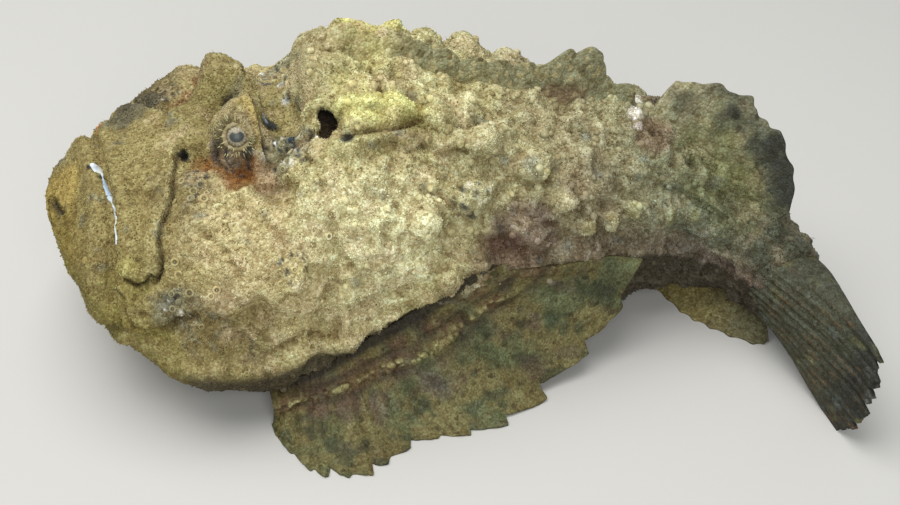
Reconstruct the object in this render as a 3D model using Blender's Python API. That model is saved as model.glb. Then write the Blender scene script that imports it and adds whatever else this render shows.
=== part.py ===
"""A life-size, still reef stonefish that lies on the floor, its tail curled to its left.

Metres, +Z up, the head towards -X and the fish's left side towards -Y. A point of the body is named
by s, the distance along the curved midline from the snout, and phi, the angle round the body from
the back (0) through the left flank (+90) to the belly (180).
"""

import math
import random

import bmesh
import bpy
import numpy as np
from mathutils import Matrix, Vector

# The midline: a C that turns its head a little and curls its tail far round to the left
BODY_LENGTH = 0.268
HEAD_YAW = math.radians(20.0)
TRUNK_YAW = math.radians(6.0)
TAIL_TURN = math.radians(82.0)
NECK_START = 0.040
NECK_END = 0.110
BEND_START = 0.172
BEND_END = 0.290
SHOULDER_S = 0.115
SHOULDER_XY = (-0.0217, 0.0195)

# Middle of the whole animal's outline, fins included, which becomes the origin
CENTRE_XY = (-0.00225, 0.01737)

# Body sections: s, half width, back height, height of the widest level, belly height
SECTIONS = np.array([
    (0.000, 0.0415, 0.0635, 0.0555, 0.034),
    (0.020, 0.0510, 0.0690, 0.0385, 0.0105),
    (0.045, 0.0597, 0.0770, 0.025, -0.002),
    (0.066, 0.0630, 0.081, 0.021, -0.004),
    (0.079, 0.0625, 0.082, 0.021, -0.004),
    (0.085, 0.0615, 0.087, 0.022, -0.004),
    (0.092, 0.0600, 0.096, 0.024, -0.004),
    (0.100, 0.0582, 0.098, 0.026, -0.004),
    (0.115, 0.0540, 0.096, 0.029, -0.004),
    (0.140, 0.0475, 0.086, 0.032, -0.004),
    (0.170, 0.0415, 0.079, 0.033, -0.003),
    (0.200, 0.0320, 0.071, 0.032, 0.001),
    (0.225, 0.0230, 0.060, 0.029, 0.007),
    (0.247, 0.0150, 0.048, 0.026, 0.010),
    (0.268, 0.0100, 0.039, 0.024, 0.010),
])
SNOUT_ROUND_WIDTH = 0.040
SNOUT_ROUND_BACK = 0.022
SNOUT_ROUND_BELLY = 0.031

# The grid of the body
SNOUT_RINGS = 8
SNOUT_END = 0.028
HEAD_END = 0.104
HEAD_STEP = 0.0042
TRUNK_STEP = 0.0062
RING_POINTS = 32

# Clearances
GAP = 0.0003
FIN_GAP = 0.00035

# Thin cuts that part the body into nodes
HEAD_CUT = 0.088
TAIL_CUT = 0.208
GAPE_LINE = ((0.0195, 0.110), (0.0212, 0.0765), (0.0232, 0.070), (0.0212, 0.062), (0.0182, 0.054),
             (0.0172, 0.046), (0.0180, 0.038), (0.0120, 0.027), (0.0020, 0.014))

# The head
EYE_RADIUS = 0.0042
EYE_BACK = -0.0024
EYE_DEGREES = {1: 17.5, -1: 22.0}
EYE_SUNK = 0.66
LID_RING = 0.0042
LID_WIDE = 0.0011
MOUND_S = {1: 0.0680, -1: 0.0653}
# A mound's crown and its outer slope: how far behind MOUND_S, phi, radius, height
MOUND_FORMS = ((0.0, 9.5, 0.0130, 0.0110), (-0.0015, 16.5, 0.0095, 0.0050))
BROW_PIT = (0.0640, 0.0105, -0.0075)
# The mounds' fine patches: each ring's share of the reach, and how far it is sunk
DOME_RINGS = ((0.28, 0.0), (0.52, 0.0), (0.76, 0.0), (1.00, 0.0012), (0.92, 0.0060))
DOME_SPOKES = 12
DOME_DEPTH = 0.0160
MOUND_DEGREES = 11.5
MOUND_REACH = 0.0124
NOSTRIL_ANCHOR = (0.0470, 11.0)
NOSTRIL_RING = 0.0020
NOSTRIL_WIDE = 0.0011
GILL_HOLE = (0.0965, 25.5)
# How wide and deep the cutters of the nostrils and the gill holes are
NOSTRIL_HOLE = (0.0012, 0.0030)
GILL_PIT = (0.0042, 0.0065)
SOCKET_GAP = 0.0005
SIGHT_AHEAD = 0.0045
SIGHT_RADIUS = 0.0034
BALL_COLUMNS = 14
BALL_ROWS = 8
OVAL_COLUMNS = 10
OVAL_ROWS = 6

# The back
SPINOUS_START = 0.0895
SPINOUS_END = 0.199
# The thirteen spines under the thick skin of the back: s of the tip's root, height
SPINES = np.array([
    (0.0925, 0.0064), (0.1000, 0.0086), (0.1075, 0.0074), (0.1170, 0.0082), (0.1250, 0.0066),
    (0.1325, 0.0080), (0.1425, 0.0070), (0.1495, 0.0078), (0.1585, 0.0072), (0.1655, 0.0066),
    (0.1760, 0.0088), (0.1835, 0.0072), (0.1925, 0.0062),
])
SPINE_REACH = 0.0056
WEB_HEIGHT = 0.0044
# The web stands higher in one fold over the rear spines
FOLD_S = 0.1725
FOLD_REACH = 0.0115
FOLD_HEIGHT = 0.0085
SOFT_START = 0.2035
SOFT_END = 0.2540
SOFT_RAYS = 7
SOFT_HEIGHT = 0.0170
SOFT_LEAN = math.radians(-30.0)
SPINOUS_COLUMNS = 54
BLADE_EDGE = 0.00030

# Warts: s, phi, radius, height
NAMED_WARTS = (
    (0.130, 24, 0.0052, 0.0042), (0.141, 19, 0.0048, 0.0040), (0.144, 31, 0.0055, 0.0040),
    (0.160, 41, 0.0050, 0.0036), (0.155, 64, 0.0044, 0.0030), (0.168, 53, 0.0046, 0.0032),
    (0.139, 51, 0.0050, 0.0034), (0.124, 59, 0.0048, 0.0032), (0.177, 66, 0.0034, 0.0030),
    (0.187, 65, 0.0036, 0.0032), (0.198, 61, 0.0034, 0.0030), (0.218, 60, 0.0030, 0.0026),
    (0.229, 54, 0.0028, 0.0024), (0.110, 44, 0.0050, 0.0030), (0.118, 18, 0.0046, 0.0034),
    (0.078, 58, 0.0042, 0.0024), (0.056, 62, 0.0040, 0.0022), (0.062, 74, 0.0044, 0.0022),
    (0.078, 44, 0.0040, 0.0022), (0.036, 20, 0.0034, 0.0022), (0.028, 70, 0.0034, 0.0020),
    (0.177, 35, 0.0042, 0.0028), (0.185, 48, 0.0040, 0.0028), (0.200, 40, 0.0038, 0.0026),
    (0.175, 18, 0.0042, 0.0024), (0.150, 14, 0.0044, 0.0024), (0.009, 40, 0.0032, 0.0018),
    (0.010, -30, 0.0030, 0.0018), (0.040, 80, 0.0038, 0.0020),
)
WART_COUNT = 62
WART_TRIES = 4000
WART_RANGE_S = (0.034, 0.258)
WART_RANGE_PHI = 84.0
WART_RADII = (0.0024, 0.0042)
WART_SHAPES = (0.55, 0.85)
LARGE_WART = 0.0042
CUT_CLEARANCE = 0.0055
# Stretches that the seeded warts keep clear of: from s, to s, from phi, to phi
WART_FREE = ((0.0, 0.300, 0.0, 10.0), (0.086, 0.300, 0.0, 13.0), (0.046, 0.084, 3.0, 36.0),
             (0.205, 0.300, 0.0, 26.0), (0.0, 0.030, 0.0, 15.0))

# Colours as (red, green, blue), and how rough each surface is
HEAD_TAN = (0.36, 0.27, 0.15)
TRUNK_SAND = (0.40, 0.31, 0.22)
TAIL_BROWN = (0.20, 0.16, 0.11)
FIN_OLIVE = (0.07, 0.075, 0.05)
CAUDAL_DARK = (0.05, 0.05, 0.035)
EYE_DARK = (0.10, 0.09, 0.03)
SKIN_ROUGHNESS = 0.7
EYE_ROUGHNESS = 0.15


def clear_scene():
    for obj in list(bpy.data.objects):
        bpy.data.objects.remove(obj, do_unlink=True)


def smooth(x):
    """Smooth step: 0 below 0, 1 above 1, 3x^2 - 2x^3 between."""
    x = np.clip(x, 0.0, 1.0)
    return x * x * (3.0 - 2.0 * x)


def through(x, xs, ys):
    """A cubic curve through the points (xs, ys), with slopes from their neighbours."""
    xs = np.asarray(xs, float)
    ys = np.asarray(ys, float)
    slopes = np.gradient(ys, xs)
    i = np.clip(np.searchsorted(xs, x) - 1, 0, len(xs) - 2)
    step = xs[i + 1] - xs[i]
    t = np.clip((x - xs[i]) / step, 0.0, 1.0)
    start = (2 * t**3 - 3 * t**2 + 1) * ys[i] + (t**3 - 2 * t**2 + t) * step * slopes[i]
    end = (3 * t**2 - 2 * t**3) * ys[i + 1] + (t**3 - t**2) * step * slopes[i + 1]
    return start + end


def heading(s):
    """Direction of the midline: it turns a little at the neck, and far round along the tail."""
    s = np.asarray(s)
    neck = (HEAD_YAW - TRUNK_YAW) * smooth((s - NECK_START) / (NECK_END - NECK_START))
    return HEAD_YAW - neck - TAIL_TURN * smooth((s - BEND_START) / (BEND_END - BEND_START))


MIDLINE_S = np.linspace(0.0, 0.40, 1601)


def midline_table():
    """Places on the midline, by adding up short steps along its heading."""
    turn = heading(MIDLINE_S)
    step = np.diff(MIDLINE_S)
    x = np.concatenate([[0.0], np.cumsum(0.5 * (np.cos(turn[1:]) + np.cos(turn[:-1])) * step)])
    y = np.concatenate([[0.0], np.cumsum(0.5 * (np.sin(turn[1:]) + np.sin(turn[:-1])) * step)])
    x += SHOULDER_XY[0] - CENTRE_XY[0] - np.interp(SHOULDER_S, MIDLINE_S, x)
    y += SHOULDER_XY[1] - CENTRE_XY[1] - np.interp(SHOULDER_S, MIDLINE_S, y)
    return x, y


MIDLINE_X, MIDLINE_Y = midline_table()


def place(s, aside, z):
    """The point at distance s along the midline, aside to the fish's left, and z above the floor."""
    s, aside, z = np.broadcast_arrays(s, aside, z)
    turn = heading(s)
    x = np.interp(s, MIDLINE_S, MIDLINE_X) + aside * np.sin(turn)
    y = np.interp(s, MIDLINE_S, MIDLINE_Y) - aside * np.cos(turn)
    return np.stack([x, y, z], axis=-1)


def round_nose(s, length):
    """A quarter ellipse from 0 at the snout to 1 at the given length."""
    t = np.clip(s / length, 0.0, 1.0)
    return np.sqrt(np.clip(1.0 - (1.0 - t) ** 2, 0.0, 1.0))


def section(s):
    """Half width, back, widest level and belly of the body at s."""
    width, back, widest, belly = (through(s, SECTIONS[:, 0], SECTIONS[:, k]) for k in (1, 2, 3, 4))
    width = width * round_nose(s, SNOUT_ROUND_WIDTH)
    back = widest + (back - widest) * round_nose(s, SNOUT_ROUND_BACK)
    belly = widest - (widest - belly) * round_nose(s, SNOUT_ROUND_BELLY)
    return width, back, widest, belly


def plain_body(s, phi):
    """The smooth body: a rounded section that is flat where it meets the floor."""
    s, phi = np.broadcast_arrays(np.asarray(s, float), np.asarray(phi, float))
    width, back, widest, belly = section(s)
    sine = np.sin(phi)
    cosine = np.cos(phi)
    aside = width * np.sign(sine) * np.abs(sine) ** 0.95
    above = widest + (back - widest) * np.abs(cosine) ** 1.05
    below = widest - (widest - belly) * np.abs(cosine) ** 0.85
    z = np.maximum(np.where(cosine >= 0.0, above, below), 0.0)
    return place(s, aside, z)


def anchor(s, degrees):
    """A point of the smooth body, as a place for a form of the skin."""
    return plain_body(np.float64(s), np.float64(math.radians(degrees)))


def away(s, degrees):
    """The outward direction of the smooth body at a point."""
    phi = math.radians(degrees)
    small = 0.002
    along = plain_body(s + small, phi) - plain_body(s - small, phi)
    around = plain_body(s, phi + 0.05) - plain_body(s, phi - 0.05)
    out = np.cross(around, along)
    return out / np.linalg.norm(out)


def bump(points, centre, radius, height):
    """A round swelling, or a pit for a negative height: height * (1 - (d / radius)^2)^2."""
    near = np.clip(1.0 - np.sum((points - centre) ** 2, axis=-1) / radius**2, 0.0, 1.0)
    return height * near**2


def ridge(points, route, radius, height):
    """The same profile carried along a route of straight pieces."""
    best = np.full(points.shape[:-1], np.inf)
    for start, end in zip(route[:-1], route[1:]):
        span = end - start
        t = np.clip(((points - start) @ span) / (span @ span), 0.0, 1.0)
        best = np.minimum(best, np.sum((points - start - t[..., None] * span) ** 2, axis=-1))
    near = np.clip(1.0 - best / radius**2, 0.0, 1.0)
    return height * near**2


# Swellings and pits on both sides: s, phi in degrees, radius, height
SWELLINGS = (
    (0.083, 12.0, 0.010, -0.0045),
    (0.034, 38.0, 0.016, 0.0032),
    (0.070, 52.0, 0.027, 0.0050),
    (0.100, 48.0, 0.022, 0.0030),
    (0.040, 92.0, 0.018, 0.0028),
    (0.110, 60.0, 0.022, 0.0030),
    (0.130, 24.0, 0.010, 0.0036),
    (0.144, 32.0, 0.011, 0.0036),
    (0.160, 41.0, 0.010, 0.0036),
    (0.168, 53.0, 0.010, 0.0030),
    (0.139, 51.0, 0.011, 0.0030),
    (0.124, 59.0, 0.010, 0.0030),
    (0.094, -6.0, 0.012, 0.0024),
    (0.0965, 25.5, 0.0065, -0.0050),
)
# Ridges and creases on both sides: radius, height, then the route as (s, phi)
CREASES = (
    (0.0042, -0.0016, ((0.046, 9), (0.0435, 15), (0.040, 27), (0.036, 36), (0.0335, 47), (0.030, 56),
                       (0.027, 60))),
    (0.0070, -0.0048, ((0.049, 15), (0.055, 18), (0.0615, 21.5), (0.067, 25), (0.073, 29), (0.079, 34))),
    (0.0045, 0.0020, ((0.0650, -5), (0.0690, -5), (0.0717, 0), (0.0722, 9), (0.0731, 15), (0.0721, 21),
                      (0.0705, 24))),
    (0.0060, -0.0032, ((0.0965, 27), (0.099, 52), (0.094, 66), (0.084, 90), (0.074, 106))),
    (0.0050, -0.0025, ((0.018, 98), (0.022, 93), (0.028, 84), (0.033, 74))),
    (0.0045, -0.0024, ((0.052, 58), (0.0555, 62.9), (0.0617, 62.9), (0.0669, 66), (0.0727, 69))),
    (0.0070, -0.0028, ((0.095, 98), (0.121, 90), (0.148, 79), (0.168, 73), (0.190, 72))),
    (0.0060, 0.0020, ((0.030, 101), (0.0416, 91), (0.0546, 91), (0.0669, 88), (0.079, 85), (0.095, 88),
                      (0.107, 87), (0.117, 85), (0.126, 80), (0.140, 73))),
    (0.0065, 0.0030, ((0.099, 33), (0.109, 31), (0.119, 31), (0.130, 34), (0.150, 33))),
    (0.0050, -0.0024, ((0.104, 10), (0.118, 8.5), (0.134, 9), (0.152, 11), (0.170, 11), (0.196, 14))),
    (0.0060, 0.0022, ((0.176, 68), (0.187, 66), (0.198, 62), (0.212, 61), (0.228, 56), (0.243, 55))),
)
# Forms on one side only, as the turned head is a little askew: s, signed phi, radius, height
ASKEW = (
    (0.001, 0.0, 0.032, -0.0036),
    (0.023, -45.0, 0.020, -0.0042),
    (0.053, -35.0, 0.018, 0.0052),
    (0.058, -36.0, 0.010, 0.0025),
)
LIP_REACH = 0.0050
LIP_HEIGHT = 0.0024
LIP_BACK = 0.0036
MOUTH_DEPTH = 0.0022


def gape_at(z):
    """How far back the mouth line is at a height."""
    line = np.array(GAPE_LINE[::-1])
    return np.interp(z, line[:, 1], line[:, 0])


def lips(s, points):
    """Two rounded ridges, one on each side of the mouth line."""
    off = s - gape_at(points[..., 2])
    hill = np.clip(1.0 - ((np.abs(off) - LIP_BACK) / LIP_REACH) ** 2, 0.0, 1.0) ** 2
    groove = np.clip(1.0 - (off / 0.0022) ** 2, 0.0, 1.0)
    upper = smooth((points[..., 2] - 0.020) / 0.012)
    return (LIP_HEIGHT * hill - MOUTH_DEPTH * groove) * upper


def relief(s, points):
    """Height of the skin's forms over the smooth body, faded out towards the floor."""
    at, radius, rise = BROW_PIT
    height = bump(points, anchor(at, 0.0), radius, rise) + lips(s, points)
    for at, degrees, radius, rise in ASKEW:
        height = height + bump(points, anchor(at, degrees), radius, rise)
    for side in (1, -1):
        for back, degrees, radius, rise in MOUND_FORMS:
            height = height + bump(points, anchor(MOUND_S[side] + back, side * degrees), radius, rise)
        for at, degrees, radius, rise in SWELLINGS:
            height = height + bump(points, anchor(at, side * degrees), radius, rise)
        for radius, rise, route in CREASES:
            places = [anchor(at, side * degrees) for at, degrees in route]
            height = height + ridge(points, places, radius, rise)
    return height * smooth((points[..., 2] - 0.004) / 0.010)


def normals_of(points):
    """Outward normals of a grid of points, by s and then phi, from its central differences."""
    along = np.gradient(points, axis=0)
    around = np.roll(points, -1, axis=1) - np.roll(points, 1, axis=1)
    out = np.cross(around, along)
    size = np.linalg.norm(out, axis=-1, keepdims=True)
    return out / np.maximum(size, 1e-12)


def station_list():
    """Distances of the rings: close at the snout, then even through the head and the trunk."""
    snout = SNOUT_END * (np.arange(1, SNOUT_RINGS + 1) / SNOUT_RINGS) ** 1.7
    head = np.linspace(SNOUT_END, HEAD_END, 1 + round((HEAD_END - SNOUT_END) / HEAD_STEP))[1:]
    trunk = np.linspace(HEAD_END, BODY_LENGTH, 1 + round((BODY_LENGTH - HEAD_END) / TRUNK_STEP))[1:]
    return np.concatenate([snout, head, trunk])


def angle_list():
    """Angles round a ring, closer together over the back than under the belly."""
    t = np.linspace(-1.0, 1.0, RING_POINTS + 1)[:-1]
    return math.pi * (0.75 * t + 0.25 * t**3)


def body_grid():
    """The body's skin as a grid of rings, each point moved out by the skin's relief."""
    s, phi = np.meshgrid(station_list(), angle_list(), indexing="ij")
    points = plain_body(s, phi)
    outward = normals_of(points)
    points = points + outward * relief(s, points)[..., None]
    points[..., 2] = np.maximum(points[..., 2], 0.0)
    return points


def mesh_from(name, points, faces):
    mesh = bpy.data.meshes.new(name)
    mesh.from_pydata([tuple(p) for p in points], [], faces)
    mesh.update()
    return mesh


def closed_rings(points):
    """Triangles round a stack of rings, with a fan to a middle point at each end."""
    rows, count, _ = points.shape
    flat = list(points.reshape(-1, 3))
    faces = []
    for i in range(rows - 1):
        for j in range(count):
            a = i * count + j
            b = i * count + (j + 1) % count
            c = b + count
            d = a + count
            if j < count // 2:
                faces += [(a, b, c), (a, c, d)]
            else:
                faces += [(a, b, d), (b, c, d)]
    first = len(flat)
    flat.append(points[0].mean(axis=0))
    flat.append(points[-1].mean(axis=0))
    last = (rows - 1) * count
    for j in range(count):
        k = (j + 1) % count
        faces.append((first, k, j))
        faces.append((first + 1, last + j, last + k))
    return flat, faces


def body_object(name, grow):
    """The whole body as one closed mesh, or the same body grown outwards as a cutter for the fins."""
    points = body_grid()
    points = points + normals_of(points) * grow
    flat, faces = closed_rings(points)
    flat[-2] = place(-grow, 0.0, section(np.float64(0.0))[2])
    return new_object(name, mesh_from(name, flat, faces))


def new_object(name, mesh):
    obj = bpy.data.objects.new(name, mesh)
    bpy.context.scene.collection.objects.link(obj)
    turn_outwards(obj)
    return obj


def turn_outwards(obj):
    """Gives a closed mesh faces that all point out."""
    work = bmesh.new()
    work.from_mesh(obj.data)
    bmesh.ops.recalc_face_normals(work, faces=work.faces)
    if work.calc_volume(signed=True) < 0.0:
        bmesh.ops.reverse_faces(work, faces=work.faces)
    work.to_mesh(obj.data)
    work.free()


def boolean(obj, others, operation):
    """Joins or cuts by a collection of closed meshes, applies it, and removes those meshes."""
    group = bpy.data.collections.new(obj.name + "_" + operation)
    bpy.context.scene.collection.children.link(group)
    for other in others:
        group.objects.link(other)
    modifier = obj.modifiers.new(operation, "BOOLEAN")
    modifier.operation = operation
    modifier.operand_type = "COLLECTION"
    modifier.collection = group
    modifier.solver = "MANIFOLD"
    apply_modifiers(obj)
    for other in others:
        bpy.data.objects.remove(other, do_unlink=True)
    bpy.data.collections.remove(group)


def apply_modifiers(obj):
    bpy.context.view_layer.update()
    graph = bpy.context.evaluated_depsgraph_get()
    mesh = bpy.data.meshes.new_from_object(obj.evaluated_get(graph))
    obj.modifiers.clear()
    old = obj.data
    obj.data = mesh
    bpy.data.meshes.remove(old)


def pieces_of(obj):
    """Splits an object's mesh into its closed surfaces, largest first, and removes the object."""
    work = bmesh.new()
    work.from_mesh(obj.data)
    bmesh.ops.triangulate(work, faces=work.faces)
    bmesh.ops.remove_doubles(work, verts=work.verts, dist=1e-6)
    work.verts.ensure_lookup_table()
    seen = set()
    groups = []
    for start in work.verts:
        if start.index in seen:
            continue
        seen.add(start.index)
        stack = [start]
        verts = []
        while stack:
            vert = stack.pop()
            verts.append(vert)
            for edge in vert.link_edges:
                other = edge.other_vert(vert)
                if other.index not in seen:
                    seen.add(other.index)
                    stack.append(other)
        groups.append(verts)
    meshes = []
    for verts in groups:
        index = {vert.index: i for i, vert in enumerate(verts)}
        faces = {face for vert in verts for face in vert.link_faces}
        if not faces:
            continue
        points = [vert.co.copy() for vert in verts]
        ordered = sorted(faces, key=lambda face: face.index)
        meshes.append((points, [[index[v.index] for v in face.verts] for face in ordered]))
    work.free()
    bpy.data.objects.remove(obj, do_unlink=True)
    return sorted(meshes, key=six_volumes, reverse=True)


def six_volumes(item):
    """Six times the volume inside a closed surface of points and triangles."""
    points, faces = item
    triples = np.array([[points[k] for k in face] for face in faces])
    return abs(np.linalg.det(triples).sum())


def keep_largest(obj):
    """Keeps only the largest closed surface of an object."""
    name = obj.name
    obj.name = name + "_parts"
    points, faces = pieces_of(obj)[0]
    return new_object(name, mesh_from(name, points, faces))


def finish(obj, colour, roughness):
    """Names the material, gives it the part's colour, and shades the facets smooth."""
    material = bpy.data.materials.new(obj.name + "_skin")
    material.use_nodes = True
    shader = material.node_tree.nodes["Principled BSDF"]
    shader.inputs["Base Color"].default_value = (*colour, 1.0)
    shader.inputs["Roughness"].default_value = roughness
    obj.data.materials.clear()
    obj.data.materials.append(material)
    obj.data.shade_smooth()
    return obj


def basis(out):
    """Two directions across an outward one."""
    out = Vector(out).normalized()
    side = out.orthogonal().normalized()
    return side, out.cross(side), out


def knob(centre, out, radius, height, sides, turn):
    """A wart: a low dome of rings and a tip, its foot sunk below the skin; a small one is plainer."""
    across, along, out = basis(out)
    rings = ((-0.60, 0.95), (0.40, 0.92))
    if radius > LARGE_WART:
        rings = ((-0.60, 0.95), (0.30, 1.00), (0.78, 0.58))
    points = []
    for level, width in rings:
        for k in range(sides):
            angle = turn + 2.0 * math.pi * k / sides
            rim = radius * width
            points.append(Vector(centre) + across * (rim * math.cos(angle))
                          + along * (rim * math.sin(angle)) + out * (height * level))
    points.append(Vector(centre) + out * height)
    faces = [tuple(range(sides))[::-1]]
    for ring in range(len(rings) - 1):
        for k in range(sides):
            a = ring * sides + k
            b = ring * sides + (k + 1) % sides
            faces.append((a, b, b + sides, a + sides))
    top = (len(rings) - 1) * sides
    tip = len(points) - 1
    for k in range(sides):
        faces.append((top + k, top + (k + 1) % sides, tip))
    return new_object("wart", mesh_from("wart", points, faces))


def strand(route, widths, sides, flat, up):
    """A tapered lock of skin: rings carried along a route, flattened across, with a pointed end."""
    route = [Vector(p) for p in route]
    points = []
    for i, middle in enumerate(route[:-1]):
        ahead = (route[i + 1] - route[max(i - 1, 0)]).normalized()
        side = ahead.cross(Vector(up)).normalized()
        rise = side.cross(ahead)
        for k in range(sides):
            angle = 2.0 * math.pi * k / sides
            points.append(middle + side * (widths[i] * math.cos(angle))
                          + rise * (widths[i] * flat * math.sin(angle)))
    points.append(route[-1])
    rows = len(route) - 1
    faces = [tuple(range(sides))[::-1]]
    for i in range(rows - 1):
        for k in range(sides):
            a = i * sides + k
            b = i * sides + (k + 1) % sides
            faces.append((a, b, b + sides, a + sides))
    for k in range(sides):
        faces.append(((rows - 1) * sides + k, (rows - 1) * sides + (k + 1) % sides, len(points) - 1))
    return new_object("strand", mesh_from("strand", points, faces))


def ball(name, centre, radius):
    mesh = bpy.data.meshes.new(name)
    work = bmesh.new()
    bmesh.ops.create_uvsphere(work, u_segments=BALL_COLUMNS, v_segments=BALL_ROWS, radius=radius,
                              matrix=Matrix.Translation(Vector(centre)))
    work.to_mesh(mesh)
    work.free()
    return new_object(name, mesh)


def oval(name, centre, out, across, deep):
    """An ellipsoid pit cutter: across wide, and deep along the outward direction."""
    side, other, out = basis(out)
    turn = Matrix((side * across, other * across, out * deep)).transposed().to_4x4()
    turn.translation = Vector(centre)
    mesh = bpy.data.meshes.new(name)
    work = bmesh.new()
    bmesh.ops.create_uvsphere(work, u_segments=OVAL_COLUMNS, v_segments=OVAL_ROWS, radius=1.0, matrix=turn)
    work.to_mesh(mesh)
    work.free()
    return new_object(name, mesh)


def ring(name, centre, out, radius, thick, columns, sides):
    """A ring of skin round an opening."""
    across, along, out = basis(out)
    points = []
    for i in range(columns):
        angle = 2.0 * math.pi * i / columns
        spoke = across * math.cos(angle) + along * math.sin(angle)
        for k in range(sides):
            turn = 2.0 * math.pi * (k + 0.5) / sides
            points.append(Vector(centre) + spoke * (radius + thick * math.cos(turn))
                          + out * (thick * math.sin(turn)))
    faces = []
    for i in range(columns):
        for k in range(sides):
            a = i * sides + k
            b = i * sides + (k + 1) % sides
            c = ((i + 1) % columns) * sides + (k + 1) % sides
            d = ((i + 1) % columns) * sides + k
            faces.append((a, b, c, d))
    return new_object(name, mesh_from(name, points, faces))


def skin_point(s, degrees):
    """A point of the skin with its relief, and its outward direction."""
    out = away(s, degrees)
    base = anchor(s, degrees)
    rise = relief(np.array([s]), base[None, :])[0]
    return base + out * rise, out


def skin_dome(at, degrees, radius):
    """A finely faceted round patch of the skin's relief, its rim sunk below the coarser skin."""
    phi = math.radians(degrees)
    step = 0.02
    around = np.linalg.norm(plain_body(at, phi + step) - plain_body(at, phi - step)) / (2.0 * step)
    points = []
    for share, sunk in DOME_RINGS:
        for k in range(DOME_SPOKES):
            turn = 2.0 * math.pi * k / DOME_SPOKES
            spot = (at + radius * share * math.cos(turn),
                    degrees + math.degrees(radius * share * math.sin(turn) / around))
            place_of, out = skin_point(*spot)
            points.append(place_of - out * sunk)
    top, out = skin_point(at, degrees)
    points += [top, top - out * DOME_DEPTH]
    faces = []
    for i in range(len(DOME_RINGS) - 1):
        for k in range(DOME_SPOKES):
            a = i * DOME_SPOKES + k
            b = i * DOME_SPOKES + (k + 1) % DOME_SPOKES
            faces += [(a, b, b + DOME_SPOKES), (a, b + DOME_SPOKES, a + DOME_SPOKES)]
    last = (len(DOME_RINGS) - 1) * DOME_SPOKES
    for k in range(DOME_SPOKES):
        n = (k + 1) % DOME_SPOKES
        faces += [(len(points) - 2, n, k), (len(points) - 1, last + k, last + n)]
    return new_object("mound", mesh_from("mound", points, faces))


def mound_objects():
    """The mounds under the eyes, finer than the skin around them."""
    return [skin_dome(MOUND_S[side], side * MOUND_DEGREES, MOUND_REACH) for side in (1, -1)]


def eye_place(side):
    """The middle of an eye: sunk in the outer slope of its mound."""
    at = MOUND_S[side] + EYE_BACK
    top, _ = skin_point(at, side * EYE_DEGREES[side])
    look = place(at - 0.006, side * 0.060, 0.098) - place(at, side * 0.020, 0.072)
    look = look / np.linalg.norm(look)
    return top - look * (EYE_RADIUS * EYE_SUNK), look


def wart_fits(at, degrees):
    """Whether a place is clear of the eyes, the back fins and the cuts."""
    turn = abs(degrees)
    if any(start <= at <= end and low <= turn < high for start, end, low, high in WART_FREE):
        return False
    return min(abs(at - HEAD_CUT), abs(at - TAIL_CUT)) >= CUT_CLEARANCE


def wart_list():
    """The named warts on both sides, and seeded ones spread over the head, back and flanks."""
    draw = random.Random(11)
    warts = []
    for at, degrees, radius, height in NAMED_WARTS:
        warts.append((at, degrees, radius, height))
        if degrees > 12:
            warts.append((at + draw.uniform(-0.002, 0.002), -degrees + draw.uniform(-3, 3), radius, height))
    for _ in range(WART_TRIES):
        at = draw.uniform(*WART_RANGE_S)
        degrees = draw.uniform(-WART_RANGE_PHI, WART_RANGE_PHI)
        radius = draw.uniform(*WART_RADII) * (1.0 - 0.35 * smooth((at - 0.19) / 0.06))
        height = radius * draw.uniform(*WART_SHAPES)
        here = anchor(at, degrees)
        crowded = any(np.linalg.norm(here - anchor(o[0], o[1])) < 1.15 * (radius + o[2]) + 0.001
                      for o in warts)
        if len(warts) < WART_COUNT and wart_fits(at, degrees) and not crowded:
            warts.append((at, degrees, radius, height))
    return warts


def wart_objects():
    draw = random.Random(5)
    made = []
    for at, degrees, radius, height in wart_list():
        centre, out = skin_point(at, degrees)
        made.append(knob(centre, out, radius, height, 6, draw.uniform(0.0, 1.0)))
    return made


def flap(route, widths, lift):
    """A flap of skin that lies along the body, given by its route as (s, phi)."""
    points = []
    for (at, degrees), rise in zip(route, lift):
        base, out = skin_point(at, degrees)
        points.append(base + out * rise)
    up = away(*route[len(route) // 2])
    return strand(points, widths, 6, 0.6, up)


FLAPS = (
    (((0.100, 27), (0.104, 25.5), (0.110, 24.5), (0.116, 25), (0.121, 26), (0.1255, 28)),
     (0.0022, 0.0040, 0.0050, 0.0046, 0.0032, 0.0), (0.000, 0.0016, 0.0024, 0.0028, 0.0030, 0.0030)),
    (((0.126, 37), (0.131, 36), (0.138, 35), (0.146, 33), (0.151, 32)),
     (0.0020, 0.0034, 0.0040, 0.0028, 0.0), (0.000, 0.0012, 0.0018, 0.0020, 0.0020)),
    (((0.031, 56), (0.034, 60), (0.038, 63), (0.0415, 66)),
     (0.0026, 0.0030, 0.0020, 0.0), (0.0006, 0.0016, 0.0024, 0.0026)),
    (((0.026, 84), (0.030, 87), (0.0345, 89), (0.0385, 92)),
     (0.0024, 0.0028, 0.0018, 0.0), (0.0006, 0.0016, 0.0022, 0.0024)),
    (((0.0405, 9), (0.0420, 8.5), (0.0435, 8), (0.0450, 7.5)),
     (0.0022, 0.0020, 0.0014, 0.0), (0.000, 0.0020, 0.0038, 0.0052)),
)


def flap_objects():
    made = []
    for side in (1, -1):
        for route, widths, lift in FLAPS:
            made.append(flap([(at, side * degrees) for at, degrees in route], widths, lift))
    return made


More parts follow.
